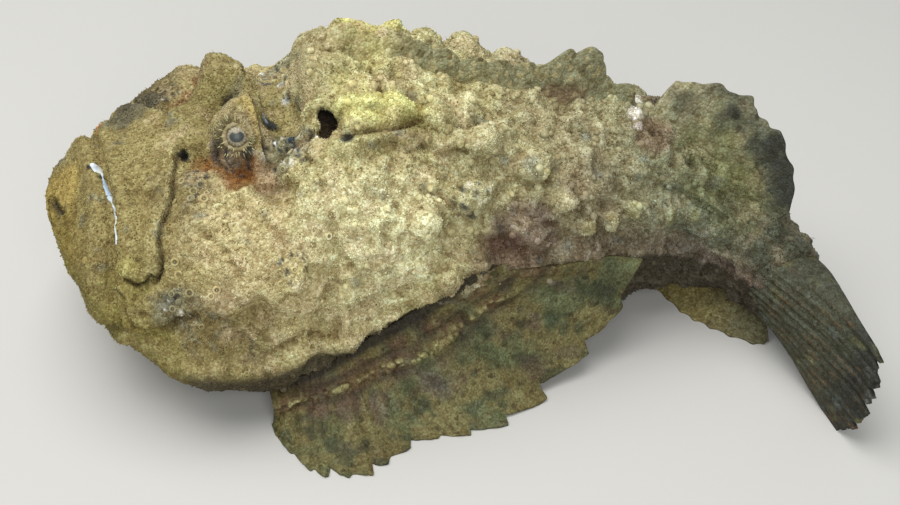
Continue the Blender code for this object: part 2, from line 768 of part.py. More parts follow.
def lid_objects():
    """A ring of lid skin round each eye, and the raised rim of each nostril."""
    made = []
    for side in (1, -1):
        centre, look = eye_place(side)
        rim = centre + look * (EYE_RADIUS * EYE_SUNK - 0.0004)
        made.append(ring("lid", rim, look, LID_RING, LID_WIDE, 13, 5))
        base, out = skin_point(NOSTRIL_ANCHOR[0], side * NOSTRIL_ANCHOR[1])
        made.append(ring("nostril", base + out * 0.0004, out, NOSTRIL_RING, NOSTRIL_WIDE, 8, 4))
    return made


def pit_objects():
    """Cutters for the eye sockets, nostrils, the deep pits behind the eyes and the gill holes."""
    made = []
    for side in (1, -1):
        centre, look = eye_place(side)
        made.append(ball("socket", centre, EYE_RADIUS + SOCKET_GAP))
        made.append(ball("sight", centre + look * SIGHT_AHEAD, SIGHT_RADIUS))
        base, out = skin_point(NOSTRIL_ANCHOR[0], side * NOSTRIL_ANCHOR[1])
        made.append(oval("nostril_hole", base, out, *NOSTRIL_HOLE))
        base, out = skin_point(GILL_HOLE[0], side * GILL_HOLE[1])
        made.append(oval("gill_hole", base, out, *GILL_PIT))
    return made


def slab(name, corners_front, corners_back):
    """A closed strip between two matching rows of points."""
    count = len(corners_front)
    faces = [tuple(range(count))[::-1], tuple(range(count, 2 * count))]
    for k in range(count):
        n = (k + 1) % count
        faces.append((k, n, n + count, k + count))
    return new_object(name, mesh_from(name, list(corners_front) + list(corners_back), faces))


def cross_cut(s):
    """A thin plate right across the body, square to the midline."""
    corners = []
    for at in (s - 0.5 * GAP, s + 0.5 * GAP):
        corners.append([place(at, aside, z) for aside, z in ((-0.12, -0.05), (0.12, -0.05),
                                                             (0.12, 0.16), (-0.12, 0.16))])
    return slab("cut", corners[0], corners[1])


def gape_cut():
    """A thin bent plate that follows the mouth line, and then the line under the chin."""
    line = np.array(GAPE_LINE + ((-0.030, -0.012),))
    step = np.gradient(line, axis=0)
    normal = np.stack([step[:, 1], -step[:, 0]], axis=1)
    normal /= np.linalg.norm(normal, axis=1, keepdims=True)
    outline = np.concatenate([line + normal * 0.5 * GAP, (line - normal * 0.5 * GAP)[::-1]])
    rows = [[place_straight(at, aside, z) for at, z in outline] for aside in (-0.09, 0.09)]
    return slab("gape", rows[0], rows[1])


def place_straight(s, aside, z):
    """As place, but along the head's straight line, so that s may be negative."""
    x = MIDLINE_X[0] + s * math.cos(HEAD_YAW) + aside * math.sin(HEAD_YAW)
    y = MIDLINE_Y[0] + s * math.sin(HEAD_YAW) - aside * math.cos(HEAD_YAW)
    return np.array([x, y, z])


def body_nodes():
    """The whole body with its warts and flaps, parted into jaw, head, trunk and tail stalk."""
    whole = body_object("whole", 0.0)
    boolean(whole, mound_objects() + wart_objects() + flap_objects() + lid_objects(), "UNION")
    boolean(whole, pit_objects(), "DIFFERENCE")
    boolean(whole, [cross_cut(HEAD_CUT), cross_cut(TAIL_CUT), gape_cut()], "DIFFERENCE")
    pieces = pieces_of(whole)[:4]
    pieces.sort(key=lambda item: sum(point.x for point in item[0]) / len(item[0]))
    nodes = []
    looks = (("lower_jaw", HEAD_TAN), ("head", HEAD_TAN), ("trunk", TRUNK_SAND),
             ("tail_stalk", TAIL_BROWN))
    for (name, colour), (points, faces) in zip(looks, pieces):
        obj = new_object(name, mesh_from(name, points, faces))
        nodes.append(finish(obj, colour, SKIN_ROUGHNESS))
    return nodes


def sheet_object(name, upper, lower):
    """A closed sheet from two matching grids of points, both split along the same diagonals."""
    rows, cols, _ = upper.shape
    count = rows * cols
    points = list(upper.reshape(-1, 3)) + list(lower.reshape(-1, 3))
    faces = []
    for i in range(rows - 1):
        for j in range(cols - 1):
            a = i * cols + j
            b, c, d = a + 1, a + cols + 1, a + cols
            faces += [(a, b, c), (a, c, d)]
            faces += [(a + count, c + count, b + count), (a + count, d + count, c + count)]
    rim = [j for j in range(cols)]
    rim += [i * cols + cols - 1 for i in range(1, rows)]
    rim += [(rows - 1) * cols + j for j in range(cols - 2, -1, -1)]
    rim += [i * cols for i in range(rows - 2, 0, -1)]
    for k, a in enumerate(rim):
        b = rim[(k + 1) % len(rim)]
        faces += [(a, a + count, b + count), (a, b + count, b)]
    return new_object(name, mesh_from(name, points, faces))


def cut_free(obj, colour):
    """Cuts a fin clear of the body, keeps its one solid, and gives it its material."""
    boolean(obj, [body_object("clearance", FIN_GAP)], "DIFFERENCE")
    return finish(keep_largest(obj), colour, SKIN_ROUGHNESS)


def ray_wave(t, count):
    """1 on each of the rays, evenly spaced over t from 0 to 1, and 0 midway between two."""
    return (0.5 + 0.5 * np.cos(2.0 * math.pi * (t * count - 0.5))) ** 2


# Edge of a spread pectoral fin, from its front ray round to its rear tip: s, distance aside, height
PECTORAL_EDGE = np.array([
    (0.0590, 0.0580, 0.0000), (0.0595, 0.0690, 0.0000), (0.0640, 0.0775, 0.0000),
    (0.0705, 0.0850, 0.0000), (0.0780, 0.0890, 0.0000), (0.0870, 0.0905, 0.0000),
    (0.0960, 0.0915, 0.0000), (0.1040, 0.0900, 0.0000), (0.1120, 0.0840, 0.0000),
    (0.1200, 0.0790, 0.0000), (0.1300, 0.0780, 0.0000), (0.1410, 0.0770, 0.0000),
    (0.1530, 0.0720, 0.0000), (0.1640, 0.0635, 0.0010), (0.1740, 0.0555, 0.0055),
    (0.1870, 0.0480, 0.0125), (0.2000, 0.0415, 0.0220), (0.2085, 0.0350, 0.0350),
])
PECTORAL_ROOT = np.array([
    (0.0610, 110.0), (0.0720, 102.0), (0.0840, 98.5), (0.0960, 96.0), (0.1080, 92.5),
    (0.1200, 89.0), (0.1320, 84.0), (0.1440, 78.0),
])
# Places along the edge, from 0 to 1, of the tips of its lobes, and how deep the notch behind each is
LOBE_TIPS = np.array([0.0, 0.055, 0.114, 0.190, 0.259, 0.330, 0.402, 0.444, 0.500, 0.560, 0.618, 0.682,
                      0.756, 0.846, 0.930, 1.0])
LOBE_NOTCHES = np.array([0.03, 0.03, 0.07, 0.07, 0.13, 0.06, 0.11, 0.07, 0.09, 0.05, 0.09, 0.10, 0.13,
                         0.10, 0.08, 0.08])
NOTCH_AT = 0.18
LOBE_COLUMNS = (0.0, NOTCH_AT, 0.55)
PECTORAL_ROWS = 6
PECTORAL_THICK = 0.0013
PECTORAL_CLEAR = 0.0014
PECTORAL_SINK = 0.0030


def lobe_columns():
    """Places along the edge for the grid's columns: three to a lobe, one of them in its notch."""
    widths = np.diff(LOBE_TIPS)
    inside = LOBE_TIPS[:-1, None] + widths[:, None] * np.array(LOBE_COLUMNS)
    return np.append(inside.ravel(), 1.0)


def lobed(u):
    """The share lost from the fin's reach: 0 at each tip, a notch just behind it, then a convex rise."""
    lobe = np.clip(np.searchsorted(LOBE_TIPS, u, side="right") - 1, 0, len(LOBE_TIPS) - 2)
    across = (u - LOBE_TIPS[lobe]) / (LOBE_TIPS[lobe + 1] - LOBE_TIPS[lobe])
    rise = np.clip((1.0 - across) / (1.0 - NOTCH_AT), 0.0, 1.0) ** 1.5
    return LOBE_NOTCHES[lobe] * np.where(across < NOTCH_AT, across / NOTCH_AT, rise)


def lobe_rays(u):
    """1 on the ray at the middle of each lobe, 0 at its ends."""
    turn = np.interp(u, LOBE_TIPS, np.arange(len(LOBE_TIPS)))
    return (0.5 - 0.5 * np.cos(2.0 * math.pi * (turn - 0.30))) ** 2


def pectoral_fin(name, side):
    """A broad fan from the flank to the floor, with a ridge for each ray and a toothed edge."""
    u = lobe_columns()
    at = np.linspace(0.0, 1.0, len(PECTORAL_EDGE))
    edge = np.stack([through(u, at, PECTORAL_EDGE[:, k]) for k in range(3)], axis=-1)
    edge[:, 2] = np.maximum(edge[:, 2], 0.0)
    at = np.linspace(0.0, 1.0, len(PECTORAL_ROOT))
    root_s = through(u, at, PECTORAL_ROOT[:, 0])
    root_phi = np.radians(through(u, at, PECTORAL_ROOT[:, 1]))
    root = plain_body(root_s, root_phi)
    width, _, _, _ = section(root_s)
    root_aside = width * np.sin(root_phi) ** 0.95 - PECTORAL_SINK
    wave = lobe_rays(u)
    v = np.linspace(0.0, 1.0, PECTORAL_ROWS)[:, None]
    half = 0.5 * PECTORAL_THICK * (1.35 - 0.65 * v) * (0.62 + 0.75 * wave)
    half = np.maximum(half, 0.00028)

    def fan(reach):
        s = root_s + (edge[:, 0] - root_s) * reach
        aside = root_aside + (edge[:, 1] - root_aside) * reach
        aside = np.where(v > 0.0, np.maximum(aside, section(s)[0] + PECTORAL_CLEAR), aside)
        drooping = 1.0 - (1.0 - reach) ** 1.9
        fall = drooping + (reach - drooping) * u**3
        z = root[:, 2] + (edge[:, 2] - root[:, 2]) * fall
        return place(s, side * aside, np.maximum(z, half))

    middle = fan(v * (1.0 - lobed(u) * smooth((v - 0.55) / 0.45)))
    outward = normals_of_sheet(fan(v + 0.0 * u))
    upper = middle + outward * half[..., None]
    lower = middle - outward * half[..., None]
    lower[..., 2] = np.maximum(lower[..., 2], 0.0)
    upper[..., 2] = np.maximum(upper[..., 2], lower[..., 2] + 0.00035)
    return cut_free(sheet_object(name, upper, lower), FIN_OLIVE)


def normals_of_sheet(points):
    """Normals of an open grid, turned to point upwards."""
    down = np.gradient(points, axis=0)
    along = np.gradient(points, axis=1)
    out = np.cross(down, along)
    out /= np.maximum(np.linalg.norm(out, axis=-1, keepdims=True), 1e-12)
    return out * np.where(out[..., 2:3].mean() < 0.0, -1.0, 1.0)


PELVIC_RAYS = 6
PELVIC_ROOT_ASIDE = 0.030
PELVIC_ROWS = 3


def pelvic_fin(name, side):
    """A small fan on the floor under the belly's edge, one spine and five rays."""
    u = np.linspace(0.0, 1.0, PELVIC_RAYS * 3 + 1)
    wave = ray_wave(u, PELVIC_RAYS)
    v = np.linspace(0.0, 1.0, PELVIC_ROWS)[:, None]
    root_s = 0.082 + 0.020 * u
    edge_s = 0.080 + 0.052 * u
    edge_aside = 0.0545 - 0.0030 * (2.0 * u - 1.0) ** 2 - 0.009 * u**2
    reach = v * (1.0 - 0.10 * (1.0 - wave) * smooth((v - 0.5) / 0.5))
    s = root_s + (edge_s - root_s) * reach
    aside = PELVIC_ROOT_ASIDE + (edge_aside - PELVIC_ROOT_ASIDE) * reach
    thick = (0.0016 - 0.0007 * v) * (0.70 + 0.30 * wave)
    lower = place(s, side * aside, np.zeros_like(s))
    upper = place(s, side * aside, thick + np.zeros_like(s))
    return cut_free(sheet_object(name, upper, lower), FIN_OLIVE)


def back_line(s):
    """The ridge of the back, with its relief."""
    base = place(s, np.zeros_like(s), section(s)[1])
    return base + np.array([0.0, 0.0, 1.0]) * relief(s, base)[..., None]


def blade(name, s, height, lean, half, side_lean, rows, sink):
    """An upright sheet on the back: it leans back along s and to one side, and thins to its edge."""
    v = np.linspace(0.0, 1.0, rows)[:, None]
    base = back_line(s)
    turn = heading(s)
    ahead = np.stack([np.cos(turn), np.sin(turn), np.zeros_like(turn)], axis=-1)
    left = np.stack([np.sin(turn), -np.cos(turn), np.zeros_like(turn)], axis=-1)
    up = np.array([0.0, 0.0, 1.0])
    rise = v * (height + sink) - sink
    curl = v**1.5 * height
    middle = (base + rise[..., None] * up * math.cos(side_lean) + (lean * curl)[..., None] * ahead
              + (math.sin(side_lean) * np.maximum(rise, 0.0))[..., None] * left)
    wide = half * (1.0 - v**1.2) + BLADE_EDGE
    return sheet_object(name, middle + left * wide[..., None], middle - left * wide[..., None])


def spine_ridge(s):
    """Height of the ridge over the back: the web, and a rounded lump for each spine."""
    off = (s[..., None] - SPINES[:, 0]) / SPINE_REACH
    lumps = np.max((SPINES[:, 1] - WEB_HEIGHT) * np.clip(1.0 - off**2, 0.0, 1.0), axis=-1)
    ends = smooth((s - SPINOUS_START) / 0.004) * smooth((SPINOUS_END - s) / 0.004)
    fold = FOLD_HEIGHT * np.clip(1.0 - ((s - FOLD_S) / FOLD_REACH) ** 2, 0.0, 1.0)
    return (WEB_HEIGHT + fold + lumps) * (0.30 + 0.70 * ends), lumps / (0.0086 - WEB_HEIGHT)


def spinous_dorsal():
    """A thick low ridge over thirteen stout spines that lean back."""
    s = np.linspace(SPINOUS_START, SPINOUS_END, SPINOUS_COLUMNS + 1)
    height, peak = spine_ridge(s)
    half = 0.0042 * (0.80 + 0.30 * peak)
    return cut_free(blade("dorsal_fin_spinous", s, height, 0.55, half, 0.0, 4, 0.005), TRUNK_SAND)


def soft_dorsal():
    """The low rear fin of the back, seven rays in a web that leans to the right and back."""
    u = np.linspace(0.0, 1.0, SOFT_RAYS * 4 + 1)
    s = SOFT_START + (SOFT_END - SOFT_START) * u
    wave = ray_wave(u, SOFT_RAYS)
    arch = np.sin(math.pi * (0.16 + 0.80 * u)) ** 0.6
    height = SOFT_HEIGHT * arch * (0.95 + 0.05 * wave)
    half = 0.0022 * (0.75 + 0.35 * wave)
    obj = blade("dorsal_fin_soft", s, height, 0.75, half, SOFT_LEAN, 5, 0.004)
    return cut_free(obj, TAIL_BROWN)


# Edge of the anal fin on the floor: s and distance aside
ANAL_EDGE = np.array([
    (0.2110, 0.0060), (0.2200, 0.0120), (0.2320, 0.0170), (0.2440, 0.0172), (0.2560, 0.0142),
    (0.2660, 0.0080), (0.2670, 0.0030),
])
ANAL_RAYS = 8


def anal_fin():
    """A low fin under the tail stalk that bends over to the left and rests on the floor."""
    cols = ANAL_RAYS * 4
    rows = 5
    u = np.linspace(0.0, 1.0, cols + 1)
    at = np.linspace(0.0, 1.0, len(ANAL_EDGE))
    edge_s = through(u, at, ANAL_EDGE[:, 0])
    edge_aside = through(u, at, ANAL_EDGE[:, 1])
    root_s = 0.2120 + 0.0430 * u
    _, _, _, belly = section(root_s)
    root_z = belly + 0.0050
    wave = ray_wave(u, ANAL_RAYS)
    v = np.linspace(0.0, 1.0, rows)[:, None]
    reach = v * (1.0 - 0.04 * (1.0 - wave) * smooth((v - 0.5) / 0.5))
    s = root_s + (edge_s - root_s) * reach
    aside = edge_aside * reach**1.3
    half = (0.0011 - 0.0006 * v) * (0.70 + 0.45 * wave)
    z = np.maximum(root_z * (1.0 - reach) ** 1.15, half)
    middle = place(s, aside, z)
    outward = normals_of_sheet(middle)
    upper = middle + outward * half[..., None]
    lower = middle - outward * half[..., None]
    lower[..., 2] = np.maximum(lower[..., 2], 0.0)
    upper[..., 2] = np.maximum(upper[..., 2], lower[..., 2] + 0.0004)
    return cut_free(sheet_object("anal_fin", upper, lower), FIN_OLIVE)


CAUDAL_LENGTH = 0.0460
CAUDAL_RAYS = 12
CAUDAL_ROWS = 7
CAUDAL_LEAN = 0.0055


def caudal_fin():
    """The tail fin: the stalk's end section drawn out into an upright fan that is nearly closed."""
    start = BODY_LENGTH + GAP
    w = np.linspace(0.0, 1.0, CAUDAL_RAYS * 3 + 1)
    v = np.linspace(0.0, 1.0, CAUDAL_ROWS)[:, None]
    width, back, _, belly = section(np.float64(BODY_LENGTH))
    wave = ray_wave(w, CAUDAL_RAYS)
    low = belly * (1.0 - smooth(v * 1.3))
    high = back + (0.0350 - back) * v + 0.0022 * np.sin(math.pi * v)
    z = low + (high - low) * w
    tip = 0.93 + 0.02 * wave + 0.13 * (1.0 - (2.0 * w - 1.0) ** 2)
    s = start + CAUDAL_LENGTH * v * (1.0 + (tip - 1.0) * smooth((v - 0.5) / 0.5))
    belly_round = np.sqrt(np.clip(1.0 - (2.0 * w - 1.0) ** 2, 0.0, 1.0))
    thick = (width - 0.0006) * (1.0 - smooth(v * 1.05)) * belly_round
    thick = thick + (0.0026 - 0.0018 * v) * (0.88 + 0.18 * wave) * (1.0 - 0.4 * (1.0 - belly_round))
    lean = -CAUDAL_LEAN * w * v
    left = place(s, lean + thick, z)
    right = place(s, lean - thick, z)
    obj = sheet_object("caudal_fin", left, right)
    return finish(obj, CAUDAL_DARK, SKIN_ROUGHNESS)


def eyes():
    made = []
    for name, side in (("eye_left", 1), ("eye_right", -1)):
        centre, _ = eye_place(side)
        made.append(finish(ball(name, centre, EYE_RADIUS), EYE_DARK, EYE_ROUGHNESS))
    return made


def main():
    clear_scene()
    root = bpy.data.objects.new("stonefish", None)
    bpy.context.scene.collection.objects.link(root)
    nodes = body_nodes()
    nodes += eyes()
    nodes += [pectoral_fin("pectoral_fin_left", 1), pectoral_fin("pectoral_fin_right", -1)]
    nodes += [pelvic_fin("pelvic_fin_left", 1), pelvic_fin("pelvic_fin_right", -1)]
    nodes += [spinous_dorsal(), soft_dorsal(), anal_fin(), caudal_fin()]
    for node in nodes:
        node.parent = root


main()
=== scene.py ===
"""The looks of a still, life-size reef stonefish that lies on the floor, its tail curled to its left.

Metres, +Z up, the head towards -X and the fish's left side towards -Y. A point of the body is named
by s, the distance along the curved midline from the snout, and phi, the angle round the body from
the back (0) through the left flank (+90 degrees) to the belly (180). A surface is a grid of points,
worked out from two parameters as whole arrays.
"""

import math

import bpy
import numpy as np
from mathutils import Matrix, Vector


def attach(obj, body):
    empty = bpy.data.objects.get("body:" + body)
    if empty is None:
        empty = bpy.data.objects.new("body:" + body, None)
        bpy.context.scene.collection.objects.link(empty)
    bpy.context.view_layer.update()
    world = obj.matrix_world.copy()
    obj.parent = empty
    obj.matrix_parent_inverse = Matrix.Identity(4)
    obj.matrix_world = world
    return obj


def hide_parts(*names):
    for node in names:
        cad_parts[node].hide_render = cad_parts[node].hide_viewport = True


# The midline, as in the solids
BODY_LENGTH = 0.268
HEAD_YAW = math.radians(20.0)
TRUNK_YAW = math.radians(6.0)
TAIL_TURN = math.radians(82.0)
NECK_START = 0.040
NECK_END = 0.110
BEND_START = 0.172
BEND_END = 0.290
SHOULDER_S = 0.115
SHOULDER_XY = (-0.0217, 0.0195)
CENTRE_XY = (-0.00225, 0.01737)

# Body sections: s, half width, back height, height of the widest level, belly height
SECTIONS = np.array([
    (0.000, 0.0415, 0.0635, 0.0555, 0.034),
    (0.020, 0.0510, 0.0690, 0.0385, 0.0105),
    (0.045, 0.0597, 0.0770, 0.025, -0.002),
    (0.066, 0.0630, 0.081, 0.021, -0.004),
    (0.079, 0.0625, 0.082, 0.021, -0.004),
    (0.085, 0.0615, 0.087, 0.022, -0.004),
    (0.092, 0.0600, 0.096, 0.024, -0.004),
    (0.100, 0.0582, 0.098, 0.026, -0.004),
    (0.115, 0.0540, 0.096, 0.029, -0.004),
    (0.140, 0.0475, 0.086, 0.032, -0.004),
    (0.170, 0.0415, 0.079, 0.033, -0.003),
    (0.200, 0.0320, 0.071, 0.032, 0.001),
    (0.225, 0.0230, 0.060, 0.029, 0.007),
    (0.247, 0.0150, 0.048, 0.026, 0.010),
    (0.268, 0.0100, 0.039, 0.024, 0.010),
])
SNOUT_ROUND_WIDTH = 0.040
SNOUT_ROUND_BACK = 0.022
SNOUT_ROUND_BELLY = 0.031

# The skin's grid: rings close together on the head, and points close together on the back and flanks
SNOUT_END = 0.026
SNOUT_RINGS = 64
HEAD_END = 0.100
HEAD_RINGS = 114
TRUNK_RINGS = 160
RING_POINTS = 284

# The head
GAPE_LINE = ((0.0195, 0.110), (0.0212, 0.0765), (0.0232, 0.070), (0.0212, 0.062), (0.0182, 0.054),
             (0.0172, 0.046), (0.0180, 0.038), (0.0120, 0.027), (0.0020, 0.014))
EYE_RADIUS = 0.0042
EYE_BACK = -0.0024
EYE_DEGREES = {1: 17.5, -1: 22.0}
EYE_SUNK = 0.66
LID_RING = 0.0038
LID_WIDE = 0.0007
MOUND_S = {1: 0.0680, -1: 0.0653}
# A mound's crown and its outer slope: how far behind MOUND_S, phi, radius, height
MOUND_FORMS = ((0.0, 9.5, 0.0130, 0.0110), (-0.0015, 16.5, 0.0095, 0.0050))

# The camera of the photograph, as a place in the part's frame
CAMERA_PLACE = (0.00225, -0.33907, 0.3000)
CAMERA_TARGET = (0.00225, -0.01737, 0.0300)
CAMERA_VIEW = math.radians(40.0)


def smooth(x):
    """Smooth step: 0 below 0, 1 above 1, 3x^2 - 2x^3 between."""
    x = np.clip(x, 0.0, 1.0)
    return x * x * (3.0 - 2.0 * x)


def through(x, xs, ys):
    """A cubic curve through the points (xs, ys), with slopes from their neighbours."""
    xs = np.asarray(xs, float)
    ys = np.asarray(ys, float)
    slopes = np.gradient(ys, xs)
    i = np.clip(np.searchsorted(xs, x) - 1, 0, len(xs) - 2)
    step = xs[i + 1] - xs[i]
    t = np.clip((x - xs[i]) / step, 0.0, 1.0)
    start = (2 * t**3 - 3 * t**2 + 1) * ys[i] + (t**3 - 2 * t**2 + t) * step * slopes[i]
    end = (3 * t**2 - 2 * t**3) * ys[i + 1] + (t**3 - t**2) * step * slopes[i + 1]
    return start + end


def heading(s):
    """Direction of the midline: it turns a little at the neck, and far round along the tail."""
    s = np.asarray(s)
    neck = (HEAD_YAW - TRUNK_YAW) * smooth((s - NECK_START) / (NECK_END - NECK_START))
    return HEAD_YAW - neck - TAIL_TURN * smooth((s - BEND_START) / (BEND_END - BEND_START))


MIDLINE_S = np.linspace(0.0, 0.40, 1601)


def midline_table():
    """Places on the midline, by adding up short steps along its heading."""
    turn = heading(MIDLINE_S)
    step = np.diff(MIDLINE_S)
    x = np.concatenate([[0.0], np.cumsum(0.5 * (np.cos(turn[1:]) + np.cos(turn[:-1])) * step)])
    y = np.concatenate([[0.0], np.cumsum(0.5 * (np.sin(turn[1:]) + np.sin(turn[:-1])) * step)])
    x += SHOULDER_XY[0] - CENTRE_XY[0] - np.interp(SHOULDER_S, MIDLINE_S, x)
    y += SHOULDER_XY[1] - CENTRE_XY[1] - np.interp(SHOULDER_S, MIDLINE_S, y)
    return x, y


MIDLINE_X, MIDLINE_Y = midline_table()


def place(s, aside, z):
    """The point at distance s along the midline, aside to the fish's left, and z above the floor."""
    s, aside, z = np.broadcast_arrays(s, aside, z)
    turn = heading(s)
    x = np.interp(s, MIDLINE_S, MIDLINE_X) + aside * np.sin(turn)
    y = np.interp(s, MIDLINE_S, MIDLINE_Y) - aside * np.cos(turn)
    return np.stack([x, y, z], axis=-1)


def round_nose(s, length):
    """A quarter ellipse from 0 at the snout to 1 at the given length."""
    t = np.clip(s / length, 0.0, 1.0)
    return np.sqrt(np.clip(1.0 - (1.0 - t) ** 2, 0.0, 1.0))


def section(s):
    """Half width, back, widest level and belly of the body at s."""
    width, back, widest, belly = (through(s, SECTIONS[:, 0], SECTIONS[:, k]) for k in (1, 2, 3, 4))
    width = width * round_nose(s, SNOUT_ROUND_WIDTH)
    back = widest + (back - widest) * round_nose(s, SNOUT_ROUND_BACK)
    belly = widest - (widest - belly) * round_nose(s, SNOUT_ROUND_BELLY)
    return width, back, widest, belly


def plain_body(s, phi):
    """The smooth body: a rounded section that is flat where it meets the floor."""
    s, phi = np.broadcast_arrays(np.asarray(s, float), np.asarray(phi, float))
    width, back, widest, belly = section(s)
    sine = np.sin(phi)
    cosine = np.cos(phi)
    aside = width * np.sign(sine) * np.abs(sine) ** 0.95
    above = widest + (back - widest) * np.abs(cosine) ** 1.05
    below = widest - (widest - belly) * np.abs(cosine) ** 0.85
    z = np.maximum(np.where(cosine >= 0.0, above, below), 0.0)
    return place(s, aside, z)


def anchor(s, degrees):
    """A point of the smooth body, as a place for a form of the skin."""
    return plain_body(np.float64(s), np.float64(math.radians(degrees)))


# Noise on points in space

def cell_hash(cell, seed):
    """A fixed number from 0 to 1 for each whole-numbered cell, by mixing its bits."""
    mixed = (cell[..., 0] * 374761393 + cell[..., 1] * 668265263 + cell[..., 2] * 1103515245
             + seed * 1274126177) & 0xFFFFFFFF
    mixed = ((mixed ^ (mixed >> 13)) * 1274126177) & 0xFFFFFFFF
    mixed = ((mixed ^ (mixed >> 15)) * 668265263) & 0xFFFFFFFF
    return (mixed ^ (mixed >> 16)) / float(0xFFFFFFFF)


def soft_noise(points, size, seed):
    """Value noise from -1 to 1: the corners of cells of the given size, blended smoothly."""
    scaled = points / size
    cell = np.floor(scaled).astype(np.int64)
    part = scaled - cell
    part = part * part * (3.0 - 2.0 * part)
    total = np.zeros(points.shape[:-1])
    for corner in np.ndindex(2, 2, 2):
        corner = np.array(corner)
        weight = np.prod(np.where(corner == 1, part, 1.0 - part), axis=-1)
        total += weight * cell_hash(cell + corner, seed)
    return 2.0 * total - 1.0


def rough_noise(points, size, seed, octaves=3):
    """Layers of soft noise, each half the size and half the height of the last."""
    total = np.zeros(points.shape[:-1])
    for octave in range(octaves):
        total += soft_noise(points, size / 2**octave, seed + octave) / 2**octave
    return total / 1.6


def cells(points, size, seed):
    """Distance to the nearest of one random point in each cell, in cell sizes, and that cell's number."""
    scaled = points / size
    cell = np.floor(scaled).astype(np.int64)
    nearest = np.full(points.shape[:-1], 9.0)
    number = np.zeros(points.shape[:-1])
    for step in np.ndindex(3, 3, 3):
        other = cell + (np.array(step) - 1)
        spot = np.stack([cell_hash(other, seed + k) for k in range(3)], axis=-1)
        distance = np.linalg.norm(other + spot - scaled, axis=-1)
        closer = distance < nearest
        nearest = np.where(closer, distance, nearest)
        number = np.where(closer, cell_hash(other, seed + 7), number)
    return nearest, number


def bump(points, centre, radius, height):
    """A round swelling, or a pit for a negative height: height * (1 - (d / radius)^2)^2."""
    near = np.clip(1.0 - np.sum((points - centre) ** 2, axis=-1) / radius**2, 0.0, 1.0)
    return height * near**2


def route_distance(points, route):
    """Squared distance to a route of straight pieces."""
    best = np.full(points.shape[:-1], np.inf)
    for start, end in zip(route[:-1], route[1:]):
        span = end - start
        t = np.clip(((points - start) @ span) / (span @ span), 0.0, 1.0)
        best = np.minimum(best, np.sum((points - start - t[..., None] * span) ** 2, axis=-1))
    return best


def ridge(points, route, radius, height):
    """The profile of a swelling carried along a route of straight pieces."""
    near = np.clip(1.0 - route_distance(points, route) / radius**2, 0.0, 1.0)
    return height * near**2


# Forms of the skin

# Swellings and pits on both sides: s, phi in degrees, radius, height
SWELLINGS = (
    (0.083, 12.0, 0.010, -0.0045),
    (0.034, 38.0, 0.016, 0.0032),
    (0.070, 52.0, 0.027, 0.0050),
    (0.100, 48.0, 0.022, 0.0030),
    (0.040, 92.0, 0.018, 0.0028),
    (0.110, 60.0, 0.022, 0.0030),
    (0.130, 24.0, 0.010, 0.0036),
    (0.144, 32.0, 0.011, 0.0036),
    (0.160, 41.0, 0.010, 0.0036),
    (0.168, 53.0, 0.010, 0.0030),
    (0.139, 51.0, 0.011, 0.0030),
    (0.124, 59.0, 0.010, 0.0030),
    (0.094, -6.0, 0.012, 0.0024),
    (0.0965, 25.5, 0.0065, -0.0050),
)
# Ridges and creases on both sides: radius, height, then the route as (s, phi)
CREASES = (
    (0.0042, -0.0016, ((0.046, 9), (0.0435, 15), (0.040, 27), (0.036, 36), (0.0335, 47), (0.030, 56),
                       (0.027, 60))),
    (0.0070, -0.0048, ((0.049, 15), (0.055, 18), (0.0615, 21.5), (0.067, 25), (0.073, 29), (0.079, 34))),
    (0.0045, 0.0020, ((0.0650, -5), (0.0690, -5), (0.0717, 0), (0.0722, 9), (0.0731, 15), (0.0721, 21),
                      (0.0705, 24))),
    (0.0060, -0.0032, ((0.0965, 27), (0.099, 52), (0.094, 66), (0.084, 90), (0.074, 106))),
    (0.0050, -0.0025, ((0.018, 98), (0.022, 93), (0.028, 84), (0.033, 74))),
    (0.0045, -0.0024, ((0.052, 58), (0.0555, 62.9), (0.0617, 62.9), (0.0669, 66), (0.0727, 69))),
    (0.0070, -0.0028, ((0.095, 98), (0.121, 90), (0.148, 79), (0.168, 73), (0.190, 72))),
    (0.0060, 0.0020, ((0.030, 101), (0.0416, 91), (0.0546, 91), (0.0669, 88), (0.079, 85), (0.095, 88),
                      (0.107, 87), (0.117, 85), (0.126, 80), (0.140, 73))),
    (0.0065, 0.0030, ((0.099, 33), (0.109, 31), (0.119, 31), (0.130, 34), (0.150, 33))),
    (0.0050, -0.0024, ((0.104, 10), (0.118, 8.5), (0.134, 9), (0.152, 11), (0.170, 11), (0.196, 14))),
    (0.0060, 0.0022, ((0.176, 68), (0.187, 66), (0.198, 62), (0.212, 61), (0.228, 56), (0.243, 55))),
)
# Forms on one side only, as the turned head is a little askew: s, signed phi, radius, height
ASKEW = (
    (0.001, 0.0, 0.032, -0.0036),
    (0.023, -45.0, 0.020, -0.0042),
    (0.053, -35.0, 0.018, 0.0052),
    (0.058, -36.0, 0.010, 0.0025),
)
